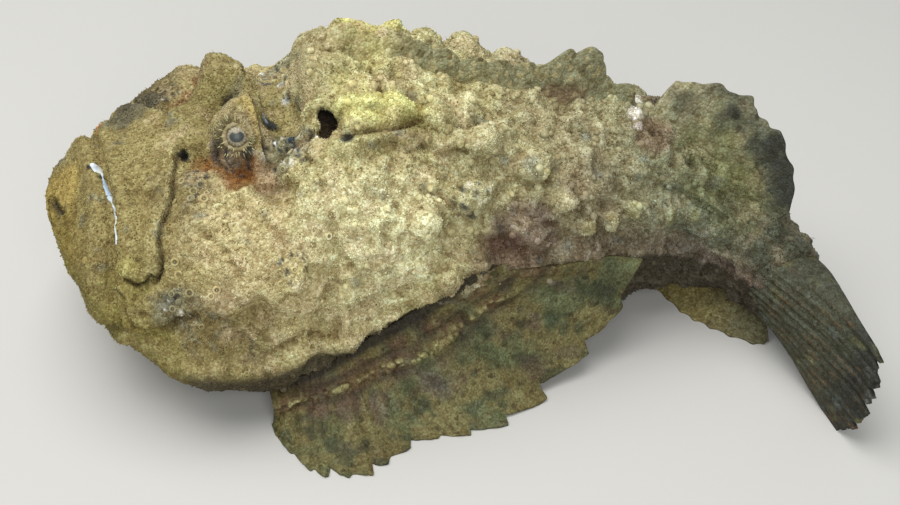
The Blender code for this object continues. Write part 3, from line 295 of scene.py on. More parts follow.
# Routes over the skin, as (s, signed phi), that a furrow or a painted line follows
CHIN_BAND = ((0.020, 101), (0.024, 97), (0.030, 91.5), (0.042, 86), (0.056, 86), (0.070, 83), (0.085, 83))
MAXILLA_LINE = (
    (0.0460, 8), (0.0435, 15), (0.0416, 21), (0.0403, 27), (0.0383, 31), (0.0364, 35), (0.0344, 40),
    (0.0338, 45), (0.0325, 51), (0.0305, 55), (0.0290, 53.5), (0.0273, 57), (0.0252, 60), (0.0230, 58),
)
MAXILLA_LIP = (
    (0.0445, 9), (0.0420, 15), (0.0401, 21), (0.0387, 27), (0.0366, 32), (0.0345, 37), (0.0325, 42),
    (0.0319, 46), (0.0302, 51), (0.0275, 53), (0.0245, 55),
)
ARCH_RIM = ((0.0690, 8.0), (0.0695, 9.0), (0.0701, 12.9), (0.0712, 15.0), (0.0717, 17.0), (0.0724, 19.0))
ARCH_LINE = ((0.0714, 6.0), (0.0722, 10.0), (0.0729, 13.0), (0.0732, 16.0), (0.0742, 19.0), (0.0748, 22.5))
JAW_HOLLOW = ((0.0028, -24.0), (0.0031, -12.0), (0.0036, -2.0), (0.0050, 14.0))
MOUND_PIT = ((0.0642, -2.9), (0.0655, -3.0), (0.0666, -3.0))
# Narrower furrows and ridges, too fine for the solids: radius, height, then the route as (s, phi)
FURROWS = (
    (0.0012, -0.0018, ((0.0460, 8), (0.0435, 15), (0.0416, 21), (0.0403, 27), (0.0383, 31),
                       (0.0364, 35), (0.0344, 40), (0.0338, 45), (0.0325, 51), (0.0305, 55),
                       (0.0292, 57), (0.0290, 53.5), (0.0273, 57), (0.0252, 60), (0.0230, 58))),
    (0.0034, 0.0016, ((0.0440, 9), (0.0415, 15), (0.0394, 21), (0.0380, 27), (0.0358, 32), (0.0338, 37),
                      (0.0318, 42), (0.0312, 46), (0.0295, 51), (0.0270, 54), (0.0240, 54))),
    (0.0016, -0.0014, ARCH_LINE),
    (0.0022, -0.0018, ((0.0206, 69), (0.0205, 79), (0.0221, 85), (0.0252, 84), (0.0292, 79), (0.0344, 71),
                       (0.0390, 68))),
    (0.0018, -0.0012, ((0.0229, 75), (0.0273, 72), (0.0279, 68))),
    (0.0022, -0.0018, ((0.0682, 79), (0.0721, 78), (0.0786, 76))),
    (0.0024, -0.0020, ((0.0825, 78), (0.0877, 83), (0.0916, 84), (0.0935, 80))),
    (0.0024, -0.0020, ((0.0747, 24), (0.0792, 22), (0.0870, 24), (0.0940, 27))),
    (0.0042, 0.0034, ((0.1021, 22.5), (0.1074, 23), (0.1126, 23), (0.1185, 22.5), (0.1238, 24))),
    (0.0030, 0.0016, ((0.1045, 27), (0.1100, 27), (0.1150, 26.5), (0.1205, 25))),
    (0.0026, -0.0034, ((0.1042, 31.5), (0.1090, 31.5), (0.1140, 30.5), (0.1185, 29), (0.1240, 26),
                       (0.1255, 22))),
    (0.0020, -0.0014, ((0.1116, 9), (0.1130, 14), (0.1137, 18))),
    (0.0024, -0.0018, ((0.1242, 36), (0.1305, 37), (0.1368, 36))),
    (0.0022, -0.0016, ((0.1315, 27), (0.1368, 27.5), (0.1431, 24))),
    (0.0024, -0.0018, ((0.1530, 45), (0.1588, 48), (0.1641, 46))),
    (0.0022, -0.0014, ((0.0870, 30), (0.0920, 37), (0.0930, 46), (0.0961, 60), (0.1000, 66))),
    (0.0020, -0.0012, ((0.0475, 40), (0.0530, 47), (0.0560, 55))),
    (0.0022, -0.0012, ((0.0620, 36), (0.0700, 42), (0.0760, 48))),
    (0.0026, -0.0020, ((0.2160, 30), (0.2250, 32), (0.2350, 30), (0.2440, 33))),
    (0.0026, -0.0018, ((0.2060, 14), (0.2180, 16), (0.2300, 15))),
    (0.0024, -0.0018, ((0.2120, 46), (0.2250, 45), (0.2400, 46))),
)
# Furrows on one side only, in the same way
ODD_FURROWS = (
    (0.0026, -0.0030, JAW_HOLLOW),
    (0.0011, -0.0012, MOUND_PIT),
    (0.0020, -0.0012, ((0.0150, -14.0), (0.0120, -2.0), (0.0095, 10.0), (0.0100, 22.0))),
)
# Small deep holes: s, phi, radius, depth
HOLES = (
    (0.0470, 11.0, 0.0018, 0.0034),
    (0.0961, 24.8, 0.0036, 0.0060),
    (0.0944, 23.0, 0.0024, 0.0030),
    (0.1018, 32.4, 0.0022, 0.0034),
    (0.0838, 3.8, 0.0022, 0.0016),
    (0.0844, 19.0, 0.0026, 0.0020),
    (0.2230, 22.0, 0.0030, 0.0030),
)
# Stout warts of the back and flanks, as in the solids: s, phi, radius, height
STOUT_WARTS = (
    (0.130, 24, 0.0060, 0.0030), (0.141, 19, 0.0055, 0.0028), (0.144, 31, 0.0064, 0.0032),
    (0.160, 41, 0.0062, 0.0034), (0.155, 64, 0.0050, 0.0024), (0.168, 53, 0.0052, 0.0026),
    (0.139, 51, 0.0058, 0.0026), (0.124, 59, 0.0054, 0.0024), (0.177, 66, 0.0032, 0.0022),
    (0.187, 65, 0.0034, 0.0022), (0.198, 61, 0.0034, 0.0020), (0.218, 60, 0.0032, 0.0018),
    (0.229, 54, 0.0030, 0.0018), (0.110, 44, 0.0054, 0.0020), (0.118, 18, 0.0050, 0.0022),
    (0.078, 58, 0.0050, 0.0018), (0.056, 62, 0.0048, 0.0018), (0.062, 74, 0.0052, 0.0018),
    (0.078, 44, 0.0048, 0.0014), (0.036, 20, 0.0040, 0.0016), (0.028, 70, 0.0040, 0.0016),
    (0.177, 35, 0.0046, 0.0022), (0.185, 48, 0.0044, 0.0022), (0.200, 40, 0.0042, 0.0022),
    (0.175, 18, 0.0046, 0.0018), (0.150, 12, 0.0050, 0.0018), (0.205, 25, 0.0040, 0.0018),
)
# The pale membrane that shows along the mouth line: s, signed phi, half width
MEMBRANE = ((0.0203, 1.2, 0.0007), (0.0210, 3.0, 0.0016), (0.0216, 4.6, 0.0018), (0.0220, 6.2, 0.0006),
            (0.0219, 8.0, 0.00005), (0.0219, 10.0, 0.0005), (0.0220, 14.0, 0.0009), (0.0222, 18.0, 0.0012),
            (0.0225, 20.5, 0.0006), (0.0227, 22.2, 0.00005), (0.0228, 24.0, 0.0005), (0.0231, 28.0, 0.0009),
            (0.0231, 33.0, 0.0006), (0.0229, 38.0, 0.0005), (0.0223, 43.0, 0.0001))
LIP_REACH = 0.0050
LIP_HEIGHT = 0.0024
LIP_BACK = 0.0036
LIP_GROOVE_REACH = 0.0020
LIP_GROOVE_DEPTH = 0.0022
# The dip of the brow between the eye mounds: s, radius, height
BROW_DIP = (0.0640, 0.0105, -0.0075)
# The hollow that an eye sits in: how much nearer the back than the eye, in degrees, radius, height
EYE_HOLLOW = (2.0, 0.0054, -0.0015)


def gape_at(z):
    """How far back the mouth line is at a height."""
    line = np.array(GAPE_LINE[::-1])
    return np.interp(z, line[:, 1], line[:, 0])


def lips(s, points):
    """Two rounded ridges, one on each side of the mouth line, with a sharp groove between."""
    off = s - gape_at(points[..., 2])
    hill = np.clip(1.0 - ((np.abs(off) - LIP_BACK) / LIP_REACH) ** 2, 0.0, 1.0) ** 2
    groove = np.clip(1.0 - (off / LIP_GROOVE_REACH) ** 2, 0.0, 1.0)
    upper = smooth((points[..., 2] - 0.020) / 0.012)
    return (LIP_HEIGHT * hill - LIP_GROOVE_DEPTH * groove) * upper


def main_forms(s, points):
    """Height of the skin's main forms over the smooth body, as in the solids."""
    brow_s, radius, rise = BROW_DIP
    height = bump(points, anchor(brow_s, 0.0), radius, rise)
    height = height + lips(s, points)
    for at, degrees, radius, rise in ASKEW:
        height = height + bump(points, anchor(at, degrees), radius, rise)
    for side in (1, -1):
        for back, degrees, radius, rise in MOUND_FORMS:
            height = height + bump(points, anchor(MOUND_S[side] + back, side * degrees), radius, rise)
        for at, degrees, radius, rise in SWELLINGS:
            height = height + bump(points, anchor(at, side * degrees), radius, rise)
        for radius, rise, route in CREASES:
            places = [anchor(at, side * degrees) for at, degrees in route]
            height = height + ridge(points, places, radius, rise)
    return height * smooth((points[..., 2] - 0.004) / 0.010)


def carved_forms(points):
    """Height of the furrows and ridges, holes and stout warts that are named above."""
    height = np.zeros(points.shape[:-1])
    for side in (1, -1):
        for radius, rise, route in FURROWS:
            places = [anchor(at, side * degrees) for at, degrees in route]
            height += ridge(points, places, radius, rise)
        for at, degrees, radius, depth in HOLES:
            height += bump(points, anchor(at, side * degrees), radius, -depth)
        above, radius, rise = EYE_HOLLOW
        eye_at = anchor(MOUND_S[side] + EYE_BACK, side * (EYE_DEGREES[side] - above))
        height += bump(points, eye_at, radius, rise)
        for at, degrees, radius, rise in STOUT_WARTS:
            apart = np.sum((points - anchor(at, side * degrees)) ** 2, axis=-1) / radius**2
            height += rise * np.clip(1.0 - apart, 0.0, 1.0) ** 1.1
    for radius, rise, route in ODD_FURROWS:
        height += ridge(points, [anchor(at, degrees) for at, degrees in route], radius, rise)
    return height


def domes(points, size, seed, wide):
    """Rounded tops from 0 to 1 round the random points of a cell pattern, and each one's number."""
    distance, number = cells(points, size, seed)
    return np.clip(1.0 - (distance / wide) ** 2, 0.0, 1.0), number


def warty_forms(s, points):
    """Height of the folds, warts and small papillae, from noise of five sizes.

    Folds are crests where a noise, bent sideways by others, crosses zero: (1 - |noise|)^3. Warts and
    papillae are domes round the random points of cell patterns, each of its own height.
    """
    snout = 1.0 - smooth((s - 0.030) / 0.035)
    trunk = smooth((s - 0.085) / 0.040)
    above = smooth((points[..., 2] - 0.003) / 0.010)
    bend = np.stack([soft_noise(points, 0.015, seed) for seed in (15, 16, 17)], axis=-1)
    bent = points + 0.0045 * bend
    crest = (1.0 - np.abs(soft_noise(bent, 0.0130, 21))) ** 3 - 0.40
    small_crest = (1.0 - np.abs(soft_noise(bent, 0.0060, 22))) ** 3 - 0.40
    fold = 0.0019 * crest + 0.0010 * small_crest + 0.0007 * rough_noise(points, 0.020, 31)
    fold = fold * (1.0 - 0.60 * snout) * (0.85 + 0.35 * trunk)
    dome, number = domes(bent, 0.0085, 41, 0.52)
    wart = 0.0017 * dome**1.2 * smooth((number - 0.35) / 0.3) * (0.10 + 0.90 * trunk)
    dome, number = domes(points, 0.0048, 46, 0.58)
    lump = 0.0011 * number * dome * (0.30 + 0.70 * trunk)
    dome, number = domes(points, 0.0029, 51, 0.62)
    knob = (0.00010 + 0.00036 * number**2) * dome
    dome, number = domes(points, 0.0016, 61, 0.60)
    small = (0.00006 + 0.00018 * number) * dome
    return (fold + wart + lump + knob + small) * above


def grid_normals(points):
    """Outward normals of a closed grid of rings, from its central differences."""
    along = np.gradient(points, axis=0)
    around = np.roll(points, -1, axis=1) - np.roll(points, 1, axis=1)
    out = np.cross(around, along)
    size = np.linalg.norm(out, axis=-1, keepdims=True)
    return out / np.maximum(size, 1e-12)


def ring_stations():
    """Distances of the rings: even steps over the blunt snout, then through the head and the trunk."""
    snout = SNOUT_END * (np.arange(1, SNOUT_RINGS + 1) / SNOUT_RINGS) ** 2
    head = np.linspace(SNOUT_END, HEAD_END, HEAD_RINGS + 1)[1:]
    trunk = np.linspace(HEAD_END, BODY_LENGTH, TRUNK_RINGS + 1)[1:]
    return np.concatenate([snout, head, trunk])


def ring_angles():
    """Angles round a ring, closer together over the back and flanks than under the belly."""
    t = np.linspace(-1.0, 1.0, RING_POINTS + 1)[:-1]
    return math.pi * (0.60 * t + 0.40 * t**5)


def between(grid, row, col, a, b):
    """Values of a grid between its points: from (row, col), a share a of a row and b of a column on."""
    values = grid if grid.ndim == 3 else grid[..., None]
    near = values[row, col] * (1.0 - b) + values[row, col + 1] * b
    far = values[row + 1, col] * (1.0 - b) + values[row + 1, col + 1] * b
    return near * (1.0 - a) + far * a


class Surface:
    """A grid of points with its normals, its two parameters and its colours."""

    def __init__(self, points, normals, first, second, tone=None):
        self.points = points
        self.normals = normals
        self.first = first
        self.second = second
        self.tone = tone

    def roots(self, count, density, seed):
        """Seeded places spread over the grid by area and density: points, normals, tones and parameters."""
        draw = np.random.default_rng(seed)
        p = self.points
        area = np.linalg.norm(np.cross(p[1:, :-1] - p[:-1, :-1], p[:-1, 1:] - p[:-1, :-1]), axis=-1)
        weight = area * 0.5 * (density[1:, :-1] + density[:-1, 1:])
        chance = np.cumsum(weight.ravel())
        chosen = np.searchsorted(chance, draw.uniform(0.0, chance[-1], count))
        row, col = np.unravel_index(chosen, weight.shape)
        a = draw.uniform(0.0, 1.0, (count, 1))
        b = draw.uniform(0.0, 1.0, (count, 1))
        points, normals, tones, first, second = (
            between(grid, row, col, a, b)
            for grid in (self.points, self.normals, self.tone, self.first, self.second))
        normals /= np.linalg.norm(normals, axis=-1, keepdims=True)
        return points, normals, tones, first[:, 0], second[:, 0]


# Colours

def paint(red, green, blue):
    """A colour written from 0 to 255, turned into light."""
    value = np.array([red, green, blue]) / 255.0
    return np.where(value <= 0.04045, value / 12.92, ((value + 0.055) / 1.055) ** 2.4)


HEAD_OCHRE = paint(144, 132, 84)
JAW_OCHRE = paint(126, 112, 56)
CHEEK_SAND = paint(182, 171, 124)
FLANK_CREAM = paint(214, 211, 166)
HUMP_SAND = paint(172, 165, 117)
MOUND_TAN = paint(138, 128, 80)
TRUNK_BEIGE = paint(174, 168, 126)
TRUNK_GREY = paint(154, 148, 114)
REAR_GREY = paint(136, 136, 106)
STALK_GREY = paint(104, 110, 88)
THROAT_OLIVE = paint(134, 124, 66)
FACE_OLIVE = paint(122, 110, 68)
# A dark brown: painted shade under the body, in furrows and where parts meet, and also the brown mottling of
# the anal fin.
SHADE_AND_MOTTLE_BROWN = paint(62, 56, 42)
FLAP_YELLOW = paint(196, 192, 124)
# Olive of the painted shadow that the yellow flap casts below it.
FLAP_SHADOW_OLIVE = paint(112, 104, 56)
RUST = paint(124, 80, 30)
WINE = paint(92, 58, 46)
PLUM = paint(88, 70, 66)
SLATE = paint(92, 100, 96)
# Black: painted shade in holes and pits, and in the jaw's hollow.
HOLE_SHADE_BLACK = paint(30, 32, 30)
# Dark blue-grey of pores and flecks, and painted shade in the pit of the mound.
FLECK_AND_PIT_SHADE_BLUE = paint(38, 46, 52)
# Chalk white of pale spots and flecks, and of a painted glint at the gill opening.
CHALK_AND_GLINT_WHITE = paint(236, 236, 226)
# Pale blue-white of the mouth's membrane and of pale spots, and of a painted glint in a dark pocket.
MEMBRANE_AND_GLINT_BLUE = paint(214, 224, 230)
MEMBRANE_SHADE = paint(122, 146, 172)
ORANGE = paint(206, 130, 50)
ARCH_OCHRE = paint(178, 158, 92)
EYE_RING = paint(178, 166, 142)
PUPIL_GREY = paint(54, 60, 56)
LUMP_OCHRE = paint(158, 140, 78)
RIDGE_GREY = paint(112, 114, 86)
MOSS = paint(114, 114, 68)
PINK_SAND = paint(202, 184, 150)
BEAD_OLIVE = paint(152, 146, 98)
FIN_OLIVE = paint(104, 97, 58)
FIN_TEAL = paint(66, 80, 52)
CAUDAL_DARK = paint(66, 68, 52)
CAUDAL_TIP = paint(44, 46, 38)
CAUDAL_RUST = paint(112, 84, 48)
ANAL_BROWN = paint(124, 114, 70)

# Colours along the body
ZONES = (
    (0.000, JAW_OCHRE), (0.014, HEAD_OCHRE), (0.044, HEAD_OCHRE), (0.058, CHEEK_SAND), (0.088, HUMP_SAND),
    (0.125, HUMP_SAND), (0.150, TRUNK_BEIGE), (0.180, TRUNK_GREY), (0.208, REAR_GREY),
    (0.236, STALK_GREY), (0.270, CAUDAL_DARK),
)
# Patches of colour, some of them painted shade and painted glints: s, phi, radius, colour, strength
PATCHES = (
    (0.068, 9.0, 0.0180, MOUND_TAN, 0.90),
    (0.058, 4.0, 0.0140, MOUND_TAN, 0.70),
    (0.050, 18.0, 0.0120, MOUND_TAN, 0.55),
    (0.044, 27.0, 0.0100, FACE_OLIVE, 0.80),
    (0.051, 16.5, 0.0042, RUST, 0.60),
    (0.056, 18.5, 0.0050, RUST, 0.75),
    (0.0615, 21.5, 0.0052, RUST, 0.90),
    (0.0665, 24.0, 0.0050, RUST, 0.95),
    (0.0710, 26.5, 0.0046, RUST, 0.80),
    (0.0745, 31.0, 0.0044, WINE, 0.70),
    (0.079, 22.0, 0.0070, SLATE, 0.45),
    (0.086, 23.0, 0.0050, SLATE, 0.45),
    (0.100, 25.0, 0.0050, FLAP_YELLOW, 0.45),
    (0.1035, 15.0, 0.0060, FLAP_YELLOW, 0.55),
    (0.1074, 23.5, 0.0060, FLAP_YELLOW, 0.85),
    (0.1130, 24.0, 0.0060, FLAP_YELLOW, 0.95),
    (0.1185, 24.0, 0.0058, FLAP_YELLOW, 0.95),
    (0.1232, 24.5, 0.0036, FLAP_YELLOW, 0.90),
    (0.105, 2.0, 0.0110, FLAP_YELLOW, 0.30),
    # Painted shadow under the yellow flap.
    (0.1215, 31.5, 0.0062, FLAP_SHADOW_OLIVE, 0.85),
    (0.1150, 34.0, 0.0050, FLAP_SHADOW_OLIVE, 0.60),
    # Painted shade in the gill opening and in the holes beside it.
    (0.0961, 24.8, 0.0034, HOLE_SHADE_BLACK, 1.00),
    (0.0944, 23.0, 0.0022, HOLE_SHADE_BLACK, 0.90),
    (0.1018, 32.4, 0.0020, HOLE_SHADE_BLACK, 0.95),
    # A painted glint at the rim of the gill opening.
    (0.0916, 27.2, 0.0013, CHALK_AND_GLINT_WHITE, 1.00),
    # Painted shade in the nostril.
    (0.0470, 11.0, 0.0018, HOLE_SHADE_BLACK, 0.95),
    (0.0578, 14.5, 0.0024, FLECK_AND_PIT_SHADE_BLUE, 0.75),
    # Painted shade in a small pit.
    (0.0600, 15.5, 0.0016, HOLE_SHADE_BLACK, 0.60),
    (0.0675, 19.8, 0.0017, FLECK_AND_PIT_SHADE_BLUE, 0.85),
    (0.0773, 10.6, 0.0020, FLECK_AND_PIT_SHADE_BLUE, 0.95),
    # A painted glint in the dark pocket at s 0.0773.
    (0.0760, 10.0, 0.0010, MEMBRANE_AND_GLINT_BLUE, 0.60),
    (0.0828, 4.0, 0.0018, MEMBRANE_AND_GLINT_BLUE, 0.45),
    (0.0864, 9.9, 0.0026, FLECK_AND_PIT_SHADE_BLUE, 0.60),
    (0.0838, 3.8, 0.0020, SLATE, 0.80),
    # Painted shade in a hole of the tail.
    (0.2230, 22.0, 0.0026, HOLE_SHADE_BLACK, 0.70),
    (0.060, 46.0, 0.0200, CHEEK_SAND, 0.55),
    (0.085, 50.0, 0.0180, CHEEK_SAND, 0.65),
    (0.107, 60.0, 0.0220, FLANK_CREAM, 0.85),
    (0.102, 77.0, 0.0130, FLANK_CREAM, 0.80),
    (0.092, 50.0, 0.0120, HUMP_SAND, 0.40),
    (0.136, 5.0, 0.0120, FLANK_CREAM, 0.75),
    (0.0625, 26.5, 0.0045, RUST, 0.80),
    (0.0598, 25.1, 0.0035, RUST, 0.60),
    (0.095, 4.0, 0.0150, TRUNK_GREY, 0.30),
    (0.104, 66.0, 0.0140, FLANK_CREAM, 0.45),
    (0.090, 73.0, 0.0170, CHEEK_SAND, 0.80),
    # Darker brown round the eyes: painted shade in the eyes' hollows.
    (0.0640, 17.0, 0.0060, SHADE_AND_MOTTLE_BROWN, 0.35),
    (0.0615, 14.0, 0.0030, SHADE_AND_MOTTLE_BROWN, 0.50),
    (0.1770, 66.0, 0.0022, FLAP_YELLOW, 0.22),
    (0.1870, 65.0, 0.0024, FLAP_YELLOW, 0.20),
    (0.1980, 61.0, 0.0022, FLAP_YELLOW, 0.20),
    (0.2180, 60.0, 0.0020, MOSS, 0.50),
    (0.2290, 54.0, 0.0018, MOSS, 0.50),
    (0.100, 76.0, 0.0120, TRUNK_BEIGE, 0.40),
    (0.140, 46.0, 0.0120, PLUM, 0.12),
    (0.186, 8.0, 0.0100, TRUNK_BEIGE, 0.40),
    (0.1985, 6.0, 0.0026, CHALK_AND_GLINT_WHITE, 0.95),
    (0.2000, 15.0, 0.0014, CHALK_AND_GLINT_WHITE, 0.95),
    (0.2060, 17.0, 0.0075, WINE, 0.60),
    (0.180, 50.0, 0.0110, PLUM, 0.25),
    (0.156, 68.0, 0.0130, PLUM, 0.78),
    (0.148, 76.0, 0.0110, WINE, 0.50),
    (0.132, 82.0, 0.0050, WINE, 0.50),
    (0.228, 10.0, 0.0140, MOSS, 0.32),
    (0.240, 22.0, 0.0120, MOSS, 0.30),
    (0.140, 4.0, 0.0130, HUMP_SAND, 0.70),
    (0.035, 67.0, 0.0085, SLATE, 0.40),
    (0.038, 74.0, 0.0080, FACE_OLIVE, 0.60),
    (0.050, 74.0, 0.0130, FACE_OLIVE, 0.80),
    (0.058, 70.0, 0.0080, FACE_OLIVE, 0.45),
    (0.022, 60.0, 0.0080, THROAT_OLIVE, 0.60),
    (0.0236, 52.0, 0.0030, FLAP_YELLOW, 0.28),
)
# Patches of small dark and pale flecks: s, phi, radius
FLECKS = (
    (0.0770, 20.0, 0.0070), (0.0805, 21.5, 0.0066), (0.0850, 24.0, 0.0066), (0.0780, 54.0, 0.0060),
    (0.0640, 20.0, 0.0050), (0.0480, 24.0, 0.0050), (0.0360, 66.0, 0.0060), (0.1380, 52.0, 0.0060),
)
# Patches on one side only: s, signed phi, radius, colour, strength
ODD_PATCHES = (
    # The first four darken the far side of the head: painted shade on the side turned away from the light.
    (0.0340, -24.0, 0.0110, SLATE, 0.45),
    (0.0380, -24.0, 0.0100, SHADE_AND_MOTTLE_BROWN, 0.50),
    (0.0440, -32.0, 0.0110, SHADE_AND_MOTTLE_BROWN, 0.55),
    (0.0520, -38.0, 0.0110, FACE_OLIVE, 0.50),
    (0.0060, -14.0, 0.0100, LUMP_OCHRE, 0.85),
    (0.0110, -6.0, 0.0080, LUMP_OCHRE, 0.55),
    (0.0196, 2.2, 0.0010, FLECK_AND_PIT_SHADE_BLUE, 0.95),
    (0.0219, 8.0, 0.0008, FLECK_AND_PIT_SHADE_BLUE, 0.90),
    (0.0252, -20.6, 0.0016, ORANGE, 0.95),
    (0.0258, -21.0, 0.0007, CHALK_AND_GLINT_WHITE, 0.90),
    (0.0642, -10.6, 0.0080, MOUND_TAN, 0.45),
)
# Painted lines: half width, colour, strength, how broken, sides, route as (s, phi)
STROKES = (
    (0.0055, CHEEK_SAND, 0.40, 0.6, (1,), CHIN_BAND),
    (0.0026, ARCH_OCHRE, 0.60, 0.6, (1,), ARCH_RIM),
    # Painted shade in the furrow along the arch.
    (0.0010, SHADE_AND_MOTTLE_BROWN, 0.85, 0.6, (1,), ARCH_LINE),
    (0.0022, CHEEK_SAND, 0.40, 0.5, (1, -1), MAXILLA_LIP),
    # Painted shade in the furrow along the maxilla's rear edge.
    (0.0008, SHADE_AND_MOTTLE_BROWN * 0.7, 0.85, 0.6, (1, -1), MAXILLA_LINE),
    # Painted shade in the hollow beside the jaw's lump.
    (0.0024, HOLE_SHADE_BLACK, 0.90, 0.3, (1,), JAW_HOLLOW),
    # Painted shade in the pit of the mound.
    (0.0009, FLECK_AND_PIT_SHADE_BLUE, 1.00, 0.3, (1,), MOUND_PIT),
)


def shaded(tone, light):
    """Light and shade on a colour: what is lighter is also a little cooler, what is darker warmer."""
    return tone * np.asarray(light)[..., None] ** np.array([0.86, 1.04, 1.30])


def body_tone(s, phi, points):
    """Colour of the skin: zones along the body, named patches, mottling from noise, and painted shade along
    the underside and where the body meets the floor.
    """
    tone = np.empty(points.shape)
    wander = s + 0.010 * soft_noise(points, 0.020, 71) + 0.004 * soft_noise(points, 0.006, 72)
    for k in range(3):
        tone[..., k] = np.interp(wander, [zone[0] for zone in ZONES], [zone[1][k] for zone in ZONES])
    turn = np.degrees(np.abs(phi))
    tail = smooth((s - 0.125) / 0.05)
    low = smooth((turn - 56.0 - 6.0 * soft_noise(points, 0.012, 73)) / 24.0)
    tone = mix(tone, PLUM * 1.15, 0.60 * low * tail)
    throat = smooth((turn - 72.0) / 14.0) * (1.0 - smooth((s - 0.050) / 0.03))
    tone = mix(tone, THROAT_OLIVE, 0.85 * throat)
    for at, degrees, radius, colour, strength in PATCHES:
        for side in (1, -1):
            near = bump(points, anchor(at, side * degrees), radius * 1.35, 1.0)
            edge = near * (1.0 + 0.5 * soft_noise(points, 0.0024, 74))
            tone = mix(tone, colour, strength * smooth(edge * 2.2))
    blotch = rough_noise(points, 0.0100, 75)
    tone = mix(tone, PINK_SAND, 0.45 * smooth(0.3 + rough_noise(points, 0.0055, 78)) * (1.0 - 0.6 * tail)
               * smooth((s - 0.030) / 0.02))
    tone = mix(tone, MOSS, 0.35 * smooth(rough_noise(points, 0.0070, 81) - 0.15) * (0.35 + 0.65 * tail))
    tone = mix(tone, SLATE, 0.50 * smooth(2.5 * rough_noise(points, 0.0045, 83) - 0.8))
    tone = mix(tone, PLUM, 0.35 * smooth(rough_noise(points, 0.0080, 86) - 0.20) * tail)
    tone = shaded(tone, 1.0 + 0.16 * rough_noise(points, 0.0040, 91) + 0.10 * blotch)
    for at, degrees, radius, colour, strength in ODD_PATCHES:
        near = bump(points, anchor(at, degrees), radius * 1.35, 1.0)
        tone = mix(tone, colour, strength * smooth(near * (2.2 + 1.1 * soft_noise(points, 0.0024, 96))))
    distance, number = cells(points + 0.0008 * soft_noise(points, 0.0020, 98)[..., None], 0.0021, 99)
    dots = smooth((0.46 - distance) / 0.12)
    for at, degrees, radius in FLECKS:
        for side in (1, -1):
            inside = smooth(bump(points, anchor(at, side * degrees), radius * 1.3, 3.0))
            tone = mix(tone, FLECK_AND_PIT_SHADE_BLUE, 0.85 * inside * dots * smooth((number - 0.30) / 0.1))
            tone = mix(tone, CHALK_AND_GLINT_WHITE, 0.45 * inside * dots * smooth((0.24 - number) / 0.08))
    for half, colour, strength, broken, sides, route in STROKES:
        for side in sides:
            off = np.sqrt(route_distance(points, [anchor(at, side * degrees) for at, degrees in route]))
            line = (1.0 - smooth(off / half)) * smooth(1.0 + broken * (soft_noise(points, 0.0030, 97) - 0.4))
            tone = mix(tone, colour, strength * line)
    # Painted shade along the underside, below a line round the body that moves with s.
    edge = np.interp(s, [0.028, 0.042, 0.062, 0.075, 0.090, 0.140], [93.0, 86.5, 86.0, 83.0, 86.0, 85.0])
    under = smooth((turn - edge) / 5.0)
    tone = mix(tone, SHADE_AND_MOTTLE_BROWN, 0.90 * under * smooth((s - 0.028) / 0.012))
    # Painted shade where the body meets the floor.
    floor = 1.0 - smooth((points[..., 2] - 0.002) / 0.009)
    return mix(tone, SHADE_AND_MOTTLE_BROWN, 0.85 * floor)


def mix(first, second, share):
    """first where share is 0, second where it is 1."""
    share = np.clip(share, 0.0, 1.0)[..., None]
    return first * (1.0 - share) + second * share


def skin_surface():
    """The body's skin: the smooth body moved out by its main forms, and then by its warts."""
    s, phi = np.meshgrid(ring_stations(), ring_angles(), indexing="ij")
    smooth_points = plain_body(s, phi)
    points = smooth_points + grid_normals(smooth_points) * main_forms(s, smooth_points)[..., None]
    fine = warty_forms(s, smooth_points) + carved_forms(smooth_points)
    points = points + grid_normals(points) * fine[..., None]
    points[..., 2] = np.maximum(points[..., 2], 0.0)
    tone = body_tone(s, phi, smooth_points)
    # The tone is darkened in the hollows of the fine forms and lightened on their crests: painted shade and
    # painted light.
    hollow = fine - blurred(fine, 4)
    broad = fine - blurred(fine, 24)
    tone = shaded(tone, np.clip(1.0 + 430.0 * hollow + 90.0 * broad, 0.30, 1.30))
    return Surface(points, grid_normals(points), s, phi, tone)


def blurred(grid, times):
    """Averages each value with its four neighbours, a number of times."""
    for _ in range(times):
        inner = np.pad(grid, ((1, 1), (0, 0)), mode="edge")
        grid = 0.2 * (grid + inner[2:] + inner[:-2] + np.roll(grid, 1, axis=1) + np.roll(grid, -1, axis=1))
    return grid


# Meshes

def mesh_piece(name, points, faces, tone, material, patches=None):
    """A new object at the origin from arrays of points, faces and colours."""
    mesh = bpy.data.meshes.new(name)
    mesh.vertices.add(len(points))
    mesh.vertices.foreach_set("co", np.ascontiguousarray(points, np.float32).ravel())
    corners = np.concatenate([face.ravel() for face in faces]).astype(np.int32)
    sizes = np.concatenate([np.full(len(face), face.shape[1]) for face in faces])
    starts = np.concatenate([[0], np.cumsum(sizes)[:-1]]).astype(np.int32)
    mesh.loops.add(len(corners))
    mesh.polygons.add(len(sizes))
    mesh.polygons.foreach_set("loop_start", starts)
    mesh.polygons.foreach_set("vertices", corners)
    mesh.update(calc_edges=True)
    mesh.validate()
    colours = mesh.color_attributes.new("Tone", "FLOAT_COLOR", "POINT")
    rgba = np.concatenate([np.clip(tone, 0.0, 1.0), np.ones((len(tone), 1))], axis=1)
    colours.data.foreach_set("color", rgba.astype(np.float32).ravel())
    if patches is not None:
        layer = mesh.uv_layers.new(name="OFBake")
        layer.data.foreach_set("uv", patches[corners].astype(np.float32).ravel())
    mesh.shade_smooth()
    mesh.materials.append(material)
    obj = bpy.data.objects.new(name, mesh)
    bpy.context.scene.collection.objects.link(obj)
    return obj


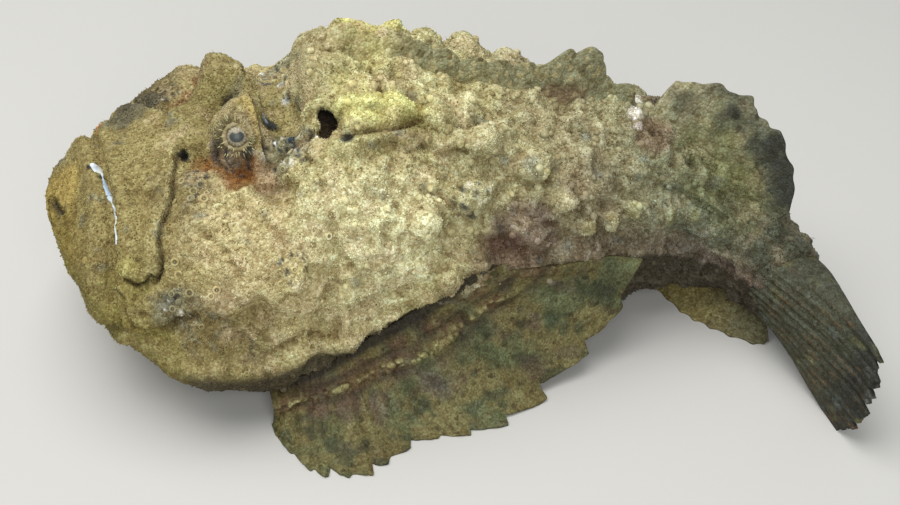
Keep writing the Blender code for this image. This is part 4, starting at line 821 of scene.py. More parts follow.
def tube_faces(rows, count):
    """Quads of a stack of closed rings, and the two fans that close its ends."""
    i, j = np.meshgrid(np.arange(rows - 1), np.arange(count), indexing="ij")
    k = (j + 1) % count
    quads = np.stack([i * count + j, i * count + k, (i + 1) * count + k, (i + 1) * count + j], axis=-1)
    j = np.arange(count)
    k = (j + 1) % count
    first = np.stack([np.full(count, rows * count), k, j], axis=-1)
    base = (rows - 1) * count
    last = np.stack([np.full(count, rows * count + 1), base + j, base + k], axis=-1)
    return [quads.reshape(-1, 4), np.concatenate([first, last])]


def tube_piece(name, surface, material):
    """A closed skin from a grid of rings."""
    rows, count, _ = surface.points.shape
    ends = [surface.points[0].mean(axis=0), surface.points[-1].mean(axis=0)]
    points = np.concatenate([surface.points.reshape(-1, 3), ends])
    tones = [surface.tone[0].mean(axis=0), surface.tone[-1].mean(axis=0)]
    tone = np.concatenate([surface.tone.reshape(-1, 3), tones])
    return mesh_piece(name, points, tube_faces(rows, count), tone, material)


def sheet_piece(name, upper, lower, material):
    """A closed sheet from an upper and a lower surface on the same grid."""
    rows, cols, _ = upper.points.shape
    index = np.arange(rows * cols).reshape(rows, cols)
    top = np.stack([index[:-1, :-1], index[:-1, 1:], index[1:, 1:], index[1:, :-1]], axis=-1)
    top = top.reshape(-1, 4)
    bottom = top[:, ::-1] + rows * cols
    rim = np.concatenate([index[0, :-1], index[:-1, -1], index[-1, :0:-1], index[:0:-1, 0]])
    ahead = np.roll(rim, -1)
    wall = np.stack([rim, rim + rows * cols, ahead + rows * cols, ahead], axis=-1)
    faces = np.concatenate([top, bottom, wall])
    points = np.concatenate([upper.points.reshape(-1, 3), lower.points.reshape(-1, 3)])
    tone = np.concatenate([upper.tone.reshape(-1, 3), lower.tone.reshape(-1, 3)])
    if signed_volume(points, faces) < 0.0:
        faces = faces[:, ::-1]
    return mesh_piece(name, points, [faces], tone, material)


def signed_volume(points, quads):
    """Positive where the faces of a closed shape point out."""
    a, b, c, d = (points[quads[:, k]] for k in range(4))
    return np.sum(a * np.cross(b, c)) + np.sum(a * np.cross(c, d))


def sheet_normals(points):
    """Normals of an open grid, turned to point upwards on the whole."""
    out = np.cross(np.gradient(points, axis=0), np.gradient(points, axis=1))
    out /= np.maximum(np.linalg.norm(out, axis=-1, keepdims=True), 1e-12)
    return out * (-1.0 if out[..., 2].mean() < 0.0 else 1.0)


# Fins

def ray_wave(t, count, sharp=2.0):
    """1 on each of the rays, evenly spaced over t from 0 to 1, and 0 midway between two."""
    return (0.5 + 0.5 * np.cos(2.0 * math.pi * (t * count - 0.5))) ** sharp


PECTORAL_EDGE = np.array([
    (0.0590, 0.0580, 0.0000), (0.0595, 0.0690, 0.0000), (0.0640, 0.0775, 0.0000),
    (0.0705, 0.0850, 0.0000), (0.0780, 0.0890, 0.0000), (0.0870, 0.0905, 0.0000),
    (0.0960, 0.0915, 0.0000), (0.1040, 0.0900, 0.0000), (0.1120, 0.0840, 0.0000),
    (0.1200, 0.0790, 0.0000), (0.1300, 0.0780, 0.0000), (0.1410, 0.0770, 0.0000),
    (0.1530, 0.0720, 0.0000), (0.1640, 0.0635, 0.0010), (0.1740, 0.0555, 0.0055),
    (0.1870, 0.0480, 0.0125), (0.2000, 0.0415, 0.0220), (0.2085, 0.0350, 0.0350),
])
PECTORAL_ROOT = np.array([
    (0.0610, 110.0), (0.0720, 102.0), (0.0840, 98.5), (0.0960, 96.0), (0.1080, 92.5),
    (0.1200, 89.0), (0.1320, 84.0), (0.1440, 78.0),
])
# Places along the edge, from 0 to 1, of the tips of its lobes, and how deep the notch behind each is
LOBE_TIPS = np.array([0.0, 0.055, 0.114, 0.190, 0.259, 0.330, 0.402, 0.444, 0.500, 0.560, 0.618, 0.682,
                      0.756, 0.846, 0.930, 1.0])
LOBE_NOTCHES = np.array([0.03, 0.03, 0.07, 0.07, 0.13, 0.06, 0.11, 0.07, 0.09, 0.05, 0.09, 0.10, 0.13,
                         0.10, 0.08, 0.08])
NOTCH_AT = 0.18
PECTORAL_COLUMNS = 420
PECTORAL_ROWS = 70
PECTORAL_THICK = 0.0013
BEAD_ROW = 0.24


def lobed(u):
    """The share lost from the fin's reach: 0 at each tip, a notch just behind it, then a convex rise."""
    lobe = np.clip(np.searchsorted(LOBE_TIPS, u, side="right") - 1, 0, len(LOBE_TIPS) - 2)
    across = (u - LOBE_TIPS[lobe]) / (LOBE_TIPS[lobe + 1] - LOBE_TIPS[lobe])
    rise = np.clip((1.0 - across) / (1.0 - NOTCH_AT), 0.0, 1.0) ** 1.5
    return LOBE_NOTCHES[lobe] * np.where(across < NOTCH_AT, across / NOTCH_AT, rise)


def lobe_rays(u):
    """1 on the ray at the middle of each lobe, 0 at its ends."""
    turn = np.interp(u, LOBE_TIPS, np.arange(len(LOBE_TIPS)))
    return (0.5 - 0.5 * np.cos(2.0 * math.pi * (turn - 0.30))) ** 2


def pectoral_fin(name, side, material):
    """A broad fan from the flank to the floor: u runs along the edge and v from root to edge.

    Each ray is a ridge, the web between is thinner, the edge is toothed, and noise wrinkles it all.
    """
    u = np.linspace(0.0, 1.0, PECTORAL_COLUMNS + 1)
    at = np.linspace(0.0, 1.0, len(PECTORAL_EDGE))
    edge = np.stack([through(u, at, PECTORAL_EDGE[:, k]) for k in range(3)], axis=-1)
    edge[:, 2] = np.maximum(edge[:, 2], 0.0)
    at = np.linspace(0.0, 1.0, len(PECTORAL_ROOT))
    root_s = through(u, at, PECTORAL_ROOT[:, 0])
    root_phi = np.radians(through(u, at, PECTORAL_ROOT[:, 1]))
    root = plain_body(root_s, root_phi)
    width, _, _, _ = section(root_s)
    root_aside = width * np.sin(root_phi) ** 0.95 - 0.0030
    wave = lobe_rays(u)
    v = np.linspace(0.0, 1.0, PECTORAL_ROWS)[:, None]
    ragged = 0.012 * soft_noise(np.stack([90.0 * u, 0.0 * u, 0.0 * u], axis=-1), 1.0, 303)
    half = 0.5 * PECTORAL_THICK * (1.35 - 0.65 * v) * (0.62 + 0.75 * wave)
    half = np.maximum(half, 0.00022)

    def fan(reach):
        s = root_s + (edge[:, 0] - root_s) * reach
        aside = root_aside + (edge[:, 1] - root_aside) * reach
        clear = section(s)[0] + 0.0014
        aside = np.where(v > 0.05, np.maximum(aside, clear * smooth(v / 0.12)), aside)
        drooping = 1.0 - np.clip(1.0 - reach, 0.0, 1.0) ** 1.9
        fall = drooping + (reach - drooping) * u**3
        z = root[:, 2] + (edge[:, 2] - root[:, 2]) * fall
        return place(s, side * aside, np.maximum(z, half))

    middle = fan(v * (1.0 - (lobed(u) + ragged) * smooth((v - 0.55) / 0.45)))
    outward = sheet_normals(fan(v + 0.0 * u))
    inner = smooth((1.0 - v) / 0.06)
    wrinkle = 0.00050 * rough_noise(middle, 0.0050, 301)
    dome, number = domes(middle, 0.0028, 311, 0.60)
    wrinkle = wrinkle + 0.0007 * number * dome * (1.0 - 0.6 * v)
    path = BEAD_ROW * (0.62 + 0.38 * smooth(u / 0.55))
    path = path + 0.020 * soft_noise(np.stack([14.0 * u, 0.0 * u, 0.0 * u], axis=-1), 1.0, 305)
    beads = np.exp(-((v - path) / 0.022) ** 2) * smooth(u / 0.12) * smooth((1.0 - u) / 0.2)
    dome, number = domes(middle, 0.0024, 316, 0.60)
    wrinkle = wrinkle + beads * (0.0002 + 0.0022 * dome * (0.3 + number))
    groove = np.exp(-((v - path - 0.07) / 0.028) ** 2) + np.exp(-((v - path + 0.08) / 0.030) ** 2)
    wrinkle = (wrinkle - 0.0006 * groove) * inner
    upper = middle + outward * (half + np.maximum(wrinkle, -0.6 * half))[..., None]
    lower = middle - outward * half[..., None]
    lower[..., 2] = np.maximum(lower[..., 2], 0.0)
    upper[..., 2] = np.maximum(upper[..., 2], lower[..., 2] + 0.0002)
    u_grid, v_grid = np.broadcast_arrays(u, v)
    tone = fin_tone(u_grid, v_grid, middle, wave)
    band = smooth((0.42 - v) / 0.16) * smooth(0.6 + rough_noise(middle, 0.0050, 361))
    tone = mix(tone, WINE, 0.55 * band)
    here_and_there = smooth(0.8 + 1.4 * rough_noise(middle, 0.0060, 371))
    tone = mix(tone, BEAD_OLIVE, 0.95 * smooth(1.6 * beads) * smooth((dome - 0.15) / 0.5) * here_and_there)
    # Painted shade in the grooves on each side of the bead row.
    tone = mix(tone, SHADE_AND_MOTTLE_BROWN * 0.6, 0.50 * groove)
    # Painted shade at the root, where the fin meets the body.
    tone = mix(tone, SHADE_AND_MOTTLE_BROWN * 0.45, 0.9 * smooth((0.10 - v) / 0.05))
    # Painted shade in the hollows of the wrinkles and painted light on their crests.
    tone = shaded(tone, np.clip(1.0 + 400.0 * (wrinkle - blurred(wrinkle, 4)), 0.4, 1.5))
    top = Surface(upper, outward, u_grid, v_grid, tone)
    return sheet_piece(name, top, Surface(lower, -outward, u_grid, v_grid, tone), material)


def fin_tone(u, v, points, wave):
    """Dark olive with teal, plum and wine mottling, streaked along the rays from root to edge."""
    streaks = np.stack([46.0 * u + 0.6 * wave, 2.2 * v, 0.0 * u], axis=-1)
    tone = np.broadcast_to(FIN_OLIVE, points.shape)
    tone = mix(tone, FIN_TEAL, 0.70 * smooth(2.2 * rough_noise(points, 0.0120, 321) + 0.25))
    tone = mix(tone, FIN_TEAL * 0.45, 0.65 * smooth(3.0 * rough_noise(points, 0.0050, 326) - 0.2))
    plum = smooth(2.6 * rough_noise(points, 0.0100, 331) - 0.5)
    tone = mix(tone, PLUM * 0.80, 0.70 * plum * (1.0 - 0.5 * v))
    olive = smooth(rough_noise(points, 0.004, 341) + 0.4)
    tone = mix(tone, THROAT_OLIVE, 0.4 * smooth(1.0 - v / 0.35) * olive)
    tone = mix(tone, HUMP_SAND, 0.12 * wave * (1.0 - 0.5 * v))
    streak = soft_noise(streaks, 1.0, 356)
    return shaded(tone, 1.0 + 0.24 * rough_noise(points, 0.0028, 351) + 0.22 * streak * smooth(v / 0.3))


def pelvic_fin(name, side, material):
    """A small fan on the floor under the belly's edge, one spine and five rays."""
    u = np.linspace(0.0, 1.0, 121)
    wave = ray_wave(u, 6)
    v = np.linspace(0.0, 1.0, 24)[:, None]
    root_s = 0.082 + 0.020 * u
    edge_s = 0.080 + 0.052 * u
    edge_aside = 0.0545 - 0.0030 * (2.0 * u - 1.0) ** 2 - 0.009 * u**2
    reach = v * (1.0 - 0.10 * (1.0 - wave) * smooth((v - 0.5) / 0.5))
    s = root_s + (edge_s - root_s) * reach
    aside = 0.030 + (edge_aside - 0.030) * reach
    thick = (0.0016 - 0.0007 * v) * (0.70 + 0.30 * wave)
    lower = place(s, side * aside, np.zeros_like(s))
    upper = place(s, side * aside, thick + np.zeros_like(s))
    u, v = np.broadcast_arrays(u, v)
    tone = fin_tone(u, v, upper, wave)
    up = np.broadcast_to(np.array([0.0, 0.0, 1.0]), upper.shape)
    return sheet_piece(name, Surface(upper, up, u, v, tone), Surface(lower, -up, u, v, tone), material)


def back_line(s):
    """The ridge of the back, with its main forms."""
    base = place(s, np.zeros_like(s), section(s)[1])
    return base + np.array([0.0, 0.0, 1.0]) * main_forms(s, base)[..., None]


SPINOUS_START = 0.0895
SPINOUS_END = 0.199
# The thirteen spines under the thick skin of the back: s of the tip's root, height
SPINES = np.array([
    (0.0925, 0.0064), (0.1000, 0.0086), (0.1075, 0.0074), (0.1170, 0.0082), (0.1250, 0.0066),
    (0.1325, 0.0080), (0.1425, 0.0070), (0.1495, 0.0078), (0.1585, 0.0072), (0.1655, 0.0066),
    (0.1760, 0.0088), (0.1835, 0.0072), (0.1925, 0.0062),
])
SPINE_REACH = 0.0056
WEB_HEIGHT = 0.0044
# The web stands higher in one fold over the rear spines
FOLD_S = 0.1725
FOLD_REACH = 0.0115
FOLD_HEIGHT = 0.0085
SOFT_START = 0.2035
SOFT_END = 0.2540
SOFT_RAYS = 7


def blade(name, s, height, lean, half, side_lean, rows, sink, tone_at, material, rough):
    """An upright web on the back: v rises from its root, it leans back and aside, and thins to its edge."""
    v = np.linspace(0.0, 1.0, rows)[:, None]
    base = back_line(s)
    turn = heading(s)
    ahead = np.stack([np.cos(turn), np.sin(turn), np.zeros_like(turn)], axis=-1)
    left = np.stack([np.sin(turn), -np.cos(turn), np.zeros_like(turn)], axis=-1)
    up = np.array([0.0, 0.0, 1.0])
    rise = v * (height + sink) - sink
    middle = (base + rise[..., None] * up * math.cos(side_lean)
              + (lean * v**1.5 * height)[..., None] * ahead
              + (math.sin(side_lean) * np.maximum(rise, 0.0))[..., None] * left)
    wide = half * (1.0 - v**1.2) + 0.00030
    near = middle + left * wide[..., None]
    far = middle - left * wide[..., None]
    for sheet in (near, far):
        lump, number = cells(sheet, 0.0034, 401)
        swell = rough * (0.3 + number) * np.clip(1.0 - (lump / 0.65) ** 2, 0.0, 1.0)
        swell = swell + rough * rough_noise(sheet, 0.0060, 411)
        sign = 1.0 if sheet is near else -1.0
        sheet += sign * left * (swell * np.sin(math.pi * (0.15 + 0.85 * v)))[..., None]
    s_grid, v = np.broadcast_arrays(s, v)
    outward = np.broadcast_to(left, near.shape)
    top = Surface(near, outward, s_grid, v, tone_at(s_grid, v, near))
    return sheet_piece(name, top, Surface(far, -outward, s_grid, v, tone_at(s_grid, v, far)), material)


def spine_ridge(s):
    """Height of the ridge over the back: the web, and a rounded lump for each spine."""
    off = (s[..., None] - SPINES[:, 0]) / SPINE_REACH
    lumps = np.max((SPINES[:, 1] - WEB_HEIGHT) * np.clip(1.0 - off**2, 0.0, 1.0), axis=-1)
    ends = smooth((s - SPINOUS_START) / 0.004) * smooth((SPINOUS_END - s) / 0.004)
    fold = FOLD_HEIGHT * np.clip(1.0 - ((s - FOLD_S) / FOLD_REACH) ** 2, 0.0, 1.0)
    return (WEB_HEIGHT + fold + lumps) * (0.30 + 0.70 * ends), lumps / (0.0086 - WEB_HEIGHT)


def spinous_dorsal(material):
    """A thick low ridge over thirteen stout spines that lean back, lumpy with warts."""
    s = np.linspace(SPINOUS_START, SPINOUS_END, 561)
    height, peak = spine_ridge(s)
    wander = np.stack([s, 0.0 * s, 0.0 * s], axis=-1)
    height = height * (1.0 + 0.16 * soft_noise(wander, 0.0042, 421))
    half = 0.0042 * (0.80 + 0.30 * peak)

    def tone_at(along, v, points):
        tone = body_tone(along, np.zeros_like(along), points)
        tone = mix(tone, RIDGE_GREY, 0.75 * smooth((along - 0.108) / 0.02) * smooth(v * 1.6))
        # Wine at the foot of the high fold over the rear spines: painted shade under the fold.
        foot = smooth((along - 0.158) / 0.004) * smooth((0.182 - along) / 0.004) * smooth((0.55 - v) / 0.2)
        tone = mix(tone, WINE, 0.55 * foot)
        dome, number = domes(points, 0.0022, 451, 0.60)
        return mix(tone, CHEEK_SAND, 0.60 * dome * smooth((number - 0.5) / 0.2))

    return blade("dorsal_spines", s, height, 0.55, half, 0.0, 48, 0.005, tone_at, material, 0.0009)


def soft_dorsal(material):
    """The low rear fin of the back, seven rays in a web that leans to the right and back."""
    u = np.linspace(0.0, 1.0, 361)
    s = SOFT_START + (SOFT_END - SOFT_START) * u
    wave = ray_wave(u, SOFT_RAYS)
    arch = np.sin(math.pi * (0.16 + 0.80 * u)) ** 0.6
    ragged = 0.09 * soft_noise(np.stack([17.0 * u, 0.0 * u, 0.0 * u], axis=-1), 1.0, 431)
    height = 0.0170 * arch * (0.95 + 0.05 * wave + ragged)
    half = 0.0022 * (0.75 + 0.35 * wave)

    def tone_at(along, v, points):
        tone = mix(body_tone(along, np.zeros_like(along), points), MOSS, 0.30 * (1.0 - v))
        dark = smooth(0.5 + 1.6 * rough_noise(points, 0.0080, 441))
        edge = smooth((v - 0.45) / 0.40) * smooth((along - 0.212) / 0.012)
        return mix(tone, CAUDAL_TIP, 0.60 * dark * smooth(v * 1.4) + 0.38 * edge)

    return blade("dorsal_soft", s, height, 0.75, half, math.radians(-30.0), 60, 0.004, tone_at, material,
                 0.0007)


ANAL_EDGE = np.array([
    (0.2110, 0.0060), (0.2200, 0.0120), (0.2320, 0.0170), (0.2440, 0.0172), (0.2560, 0.0142),
    (0.2660, 0.0080), (0.2670, 0.0030),
])
ANAL_RAYS = 8


def anal_fin(material):
    """A low fin under the tail stalk that bends over to the left and rests on the floor."""
    u = np.linspace(0.0, 1.0, 201)
    at = np.linspace(0.0, 1.0, len(ANAL_EDGE))
    edge_s = through(u, at, ANAL_EDGE[:, 0])
    edge_aside = through(u, at, ANAL_EDGE[:, 1])
    root_s = 0.2120 + 0.0430 * u
    _, _, _, belly = section(root_s)
    root_z = belly + 0.0050
    wave = ray_wave(u, ANAL_RAYS)
    v = np.linspace(0.0, 1.0, 40)[:, None]
    reach = v * (1.0 - 0.04 * (1.0 - wave) * smooth((v - 0.5) / 0.5))
    s = root_s + (edge_s - root_s) * reach
    aside = edge_aside * reach**1.3
    half = (0.0011 - 0.0006 * v) * (0.70 + 0.45 * wave)
    z = np.maximum(root_z * (1.0 - reach) ** 1.15, half)
    middle = place(s, aside, z)
    outward = sheet_normals(middle)
    upper = middle + outward * half[..., None]
    lower = middle - outward * half[..., None]
    lower[..., 2] = np.maximum(lower[..., 2], 0.0)
    upper[..., 2] = np.maximum(upper[..., 2], lower[..., 2] + 0.0003)
    u, v = np.broadcast_arrays(u, v)
    brown = 0.5 * smooth(rough_noise(upper, 0.006, 501))
    tone = mix(np.broadcast_to(ANAL_BROWN, upper.shape), SHADE_AND_MOTTLE_BROWN, brown)
    tone = mix(tone, CAUDAL_DARK, 0.70 * smooth((u - 0.40) / 0.45))
    tone = shaded(tone, 1.10 + 0.22 * rough_noise(upper, 0.0030, 511))
    top = Surface(upper, outward, u, v, tone)
    return sheet_piece("anal_web", top, Surface(lower, -outward, u, v, tone), material)


CAUDAL_LENGTH = 0.0460
CAUDAL_RAYS = 12
CAUDAL_LEAN = 0.0055
CAUDAL_OVERLAP = 0.006


def caudal_fin(material):
    """The tail fin: the stalk's end section drawn out into an upright fan that is nearly closed."""
    w = np.linspace(0.0, 1.0, 181)
    v = np.linspace(-CAUDAL_OVERLAP / CAUDAL_LENGTH, 1.0, 120)[:, None]
    width, back, _, belly = section(np.float64(BODY_LENGTH))
    wave = ray_wave(w, CAUDAL_RAYS)
    low = belly * (1.0 - smooth(v * 1.3))
    high = back + (0.0350 - back) * v + 0.0022 * np.sin(math.pi * v)
    z = low + (high - low) * w
    ragged = 0.05 * soft_noise(np.stack([24.0 * w, 0.0 * w, 0.0 * w], axis=-1), 1.0, 561)
    tip = 0.93 + 0.02 * wave + 0.13 * (1.0 - (2.0 * w - 1.0) ** 2) + ragged
    s = BODY_LENGTH + CAUDAL_LENGTH * v * (1.0 + (tip - 1.0) * smooth((v - 0.5) / 0.5))
    belly_round = np.sqrt(np.clip(1.0 - (2.0 * w - 1.0) ** 2, 0.0, 1.0))
    thick = (width - 0.0006) * (1.0 - smooth(v * 1.05)) * belly_round
    thick = thick + (0.0026 - 0.0018 * v) * (0.88 + 0.18 * wave) * (1.0 - 0.4 * (1.0 - belly_round))
    lean = -CAUDAL_LEAN * w * v
    left = place(s, lean + thick, z)
    right = place(s, lean - thick, z)
    turn = heading(s)
    aside = np.stack([np.sin(turn), -np.cos(turn), np.zeros_like(turn)], axis=-1)
    strips = np.stack([52.0 * w + 0.0 * v, 2.5 * v + 0.0 * w, 0.0 * (v + w)], axis=-1)
    for sheet, sign in ((left, 1.0), (right, -1.0)):
        swell = 0.0006 * rough_noise(sheet, 0.0030, 521) + 0.0002 * soft_noise(strips, 1.0, 526)
        sheet += sign * aside * (swell * np.sin(math.pi * w))[..., None]
    w, v = np.broadcast_arrays(w, v)
    tone = mix(np.broadcast_to(CAUDAL_DARK, left.shape), CAUDAL_TIP, smooth((v - 0.55) / 0.35))
    tone = mix(tone, CAUDAL_RUST, 0.6 * wave * smooth(rough_noise(left, 0.006, 531) + 0.1))
    tone = mix(tone, SLATE, 0.5 * smooth(2.0 * rough_noise(left, 0.0045, 541) - 0.5))
    tone = mix(tone, MOSS, 0.4 * smooth(2.0 * rough_noise(left, 0.0055, 551) - 0.5))
    tone = shaded(tone, 1.0 + 0.20 * soft_noise(strips, 1.0, 536) + 0.30 * rough_noise(left, 0.0030, 546))
    top = Surface(left, aside, w, v, tone)
    return sheet_piece("caudal_web", top, Surface(right, -aside, w, v, tone), material)


# Eyes

def skin_place(s, degrees):
    """A point of the skin's main forms, and the outward direction of the smooth body there."""
    phi = math.radians(degrees)
    base = plain_body(s, phi)
    along = plain_body(s + 0.002, phi) - plain_body(s - 0.002, phi)
    around = plain_body(s, phi + 0.05) - plain_body(s, phi - 0.05)
    out = np.cross(around, along)
    out /= np.linalg.norm(out)
    return base + out * main_forms(np.array([s]), base[None, :])[0], out


def eye_place(side):
    """The middle of an eye, sunk in the outer slope of its mound, and where it looks."""
    at = MOUND_S[side] + EYE_BACK
    top, _ = skin_place(at, side * EYE_DEGREES[side])
    look = place(at - 0.006, side * 0.060, 0.098) - place(at, side * 0.020, 0.072)
    look = look / np.linalg.norm(look)
    return top - look * (EYE_RADIUS * EYE_SUNK), look


def eye_axes(side):
    """The middle of an eye, where it looks, and two directions across and up."""
    centre, look = eye_place(side)
    across = np.cross(look, [0.0, 0.0, 1.0])
    across /= np.linalg.norm(across)
    return centre, look, across, np.cross(across, look)


def eye(name, side, material):
    """A ball as rings round its line of sight, with a pupil notched by a flap from above."""
    centre, look, across, up = eye_axes(side)
    polar = np.linspace(0.0, math.pi, 66)[1:-1, None]
    turn = np.linspace(0.0, 2.0 * math.pi, 97)[None, :-1]
    x = np.sin(polar) * np.cos(turn)
    y = np.sin(polar) * np.sin(turn)
    reach = np.cos(polar) + 0.0 * turn
    spoke = x[..., None] * across + y[..., None] * up + reach[..., None] * look
    points = centre + EYE_RADIUS * spoke
    out = np.hypot(x, y)
    pupil = smooth((0.56 - np.hypot(x, 1.25 * y)) / 0.06) * smooth((np.hypot(x, y - 0.50) - 0.25) / 0.06)
    rim = smooth((0.80 - out) / 0.20)
    streaks = 0.85 + 0.25 * np.cos(turn * 17.0 + 9.0 * out) * smooth((out - 0.4) / 0.2)
    tone = np.broadcast_to(FACE_OLIVE * 0.5, points.shape)
    tone = mix(tone, EYE_RING, rim * (0.55 + 0.35 * smooth(0.5 + 1.5 * soft_noise(points, 0.0012, 566))))
    tone = tone * streaks[..., None]
    tone = mix(tone, PUPIL_GREY, pupil)
    surface = Surface(points, spoke, polar + 0.0 * turn, turn + 0.0 * polar, tone)
    return tube_piece(name, surface, material)


def eyelid(name, side, material):
    """A lumpy ring of skin round the eye: a small circle carried round the line of sight."""
    centre, look, across, up = eye_axes(side)
    turn = np.linspace(0.0, 2.0 * math.pi, 121)[:-1, None]
    around = np.linspace(0.0, 2.0 * math.pi, 25)[None, :-1]
    spoke = np.cos(turn)[..., None] * across + np.sin(turn)[..., None] * up
    lobe = 1.0 + 0.10 * np.cos(turn * 13.0) + 0.12 * np.cos(turn * 4.0 + 1.0)
    wide = LID_WIDE * lobe
    ring_at = centre + look * (EYE_RADIUS * EYE_SUNK - 0.0004)
    points = (ring_at + spoke * (LID_RING + wide * np.cos(around))[..., None]
              + look * (wide * np.sin(around))[..., None])
    outward = spoke * np.cos(around)[..., None] + look * np.sin(around)[..., None]
    points = points + outward * (0.00030 * rough_noise(points, 0.0010, 561))[..., None]
    tone = np.broadcast_to(MOUND_TAN, points.shape)
    tone = mix(tone, EYE_RING, 0.35 + 0.35 * smooth(2.0 * rough_noise(points, 0.0016, 562)))
    # Painted shade on the lid's inner side, where it turns in towards the eye.
    tone = mix(tone, SHADE_AND_MOTTLE_BROWN, 0.30 * smooth(-np.cos(around) * 1.2) + 0.0 * turn)
    rows, count = points.shape[:2]
    i, j = np.meshgrid(np.arange(rows), np.arange(count), indexing="ij")
    ahead = (i + 1) % rows
    beside = (j + 1) % count
    faces = np.stack([i * count + j, ahead * count + j, ahead * count + beside, i * count + beside], axis=-1)
    faces = faces.reshape(-1, 4)
    flat = points.reshape(-1, 3)
    if signed_volume(flat, faces) < 0.0:
        faces = faces[:, ::-1]
    return mesh_piece(name, flat, [faces], tone.reshape(-1, 3), material)


# The mouth line

MEMBRANE_ROWS = 120
MEMBRANE_SIDES = 12
MEMBRANE_TALL = 0.0004
# Where along it the membrane is shaded, from 0 to 1, and how far that reaches
MEMBRANE_SHADE_AT = 0.42
MEMBRANE_SHADE_REACH = 0.24


def mouth_membrane(skin, material):
    """A flat cord laid on the skin along the mouth line.

    A point is the skin's point + half width * cos(a) * side + MEMBRANE_TALL * (0.3 + sin(a)) * normal,
    for angles a round the cord.
    """
    rows = np.array(MEMBRANE)
    t = np.linspace(0.0, 1.0, MEMBRANE_ROWS)
    at = np.linspace(0.0, 1.0, len(rows))
    s, degrees, wide = (np.interp(t, at, rows[:, k]) for k in range(3))
    i = np.interp(s, skin.first[:, 0], np.arange(len(skin.first)))
    j = np.interp(np.radians(degrees), skin.second[0], np.arange(skin.second.shape[1]))
    row = np.floor(i).astype(int)
    col = np.floor(j).astype(int)
    centre, normal = (between(grid, row, col, (i - row)[:, None], (j - col)[:, None])
                      for grid in (skin.points, skin.normals))
    normal /= np.linalg.norm(normal, axis=1, keepdims=True)
    for _ in range(3):
        centre[1:-1] = (centre[:-2] + centre[1:-1] + centre[2:]) / 3.0
    ahead = np.gradient(centre, axis=0)
    ahead /= np.linalg.norm(ahead, axis=1, keepdims=True)
    side = np.cross(normal, ahead)
    turn = np.linspace(0.0, 2.0 * math.pi, MEMBRANE_SIDES + 1)[None, :-1]
    wide = wide * (1.0 + 0.25 * soft_noise(centre, 0.0016, 571))
    points = (centre[:, None] + (wide[:, None] * np.cos(turn))[..., None] * side[:, None]
              + (MEMBRANE_TALL * (0.3 + np.sin(turn)))[..., None] * normal[:, None])
    light = 0.80 + 0.25 * soft_noise(points, 0.0014, 572)
    sandy = 0.55 * smooth(0.2 + soft_noise(points, 0.0030, 573))
    tones = mix(MEMBRANE_AND_GLINT_BLUE * light[..., None], CHEEK_SAND, sandy)
    middle = smooth(1.0 - np.abs(t - MEMBRANE_SHADE_AT) / MEMBRANE_SHADE_REACH)[:, None] * np.ones_like(light)
    tones = mix(tones, MEMBRANE_SHADE, 0.75 * middle)
    return tube_piece("mouth_membrane", Surface(points, None, None, None, tones), material)


# Materials

def shader_of(name, roughness):
    """A new material, its node tree and its shader."""
    material = bpy.data.materials.new(name)
    material.use_nodes = True
    tree = material.node_tree
    shader = tree.nodes["Principled BSDF"]
    shader.inputs["Roughness"].default_value = roughness
    return material, tree, shader


def node(tree, kind, inputs=None, **settings):
    """A new node with its settings, its plain values and its links."""
    made = tree.nodes.new(kind)
    for key, value in settings.items():
        setattr(made, key, value)
    for key, value in (inputs or {}).items():
        if isinstance(value, bpy.types.NodeSocket):
            tree.links.new(value, made.inputs[key])
        else:
            made.inputs[key].default_value = value
    return made


def spread(tree, value, low, high):
    """A value from 0 to 1 spread from low to high."""
    made = node(tree, "ShaderNodeMapRange", {"Value": value, "To Min": low, "To Max": high})
    return made.outputs["Result"]


def times(tree, first, second):
    """One value times another."""
    made = node(tree, "ShaderNodeMath", {0: first, 1: second}, operation="MULTIPLY")
    return made.outputs["Value"]


def plus(tree, first, second):
    """One value plus another."""
    made = node(tree, "ShaderNodeMath", {0: first, 1: second}, operation="ADD")
    return made.outputs["Value"]


def scaled(tree, vector, scale):
    """A colour or a place times a value."""
    made = node(tree, "ShaderNodeVectorMath", {0: vector, "Scale": scale}, operation="SCALE")
    return made.outputs["Vector"]


def multiply_colour(tree, first, second):
    """One colour times another, channel by channel."""
    made = node(tree, "ShaderNodeVectorMath", {0: first, 1: second}, operation="MULTIPLY")
    return made.outputs["Vector"]


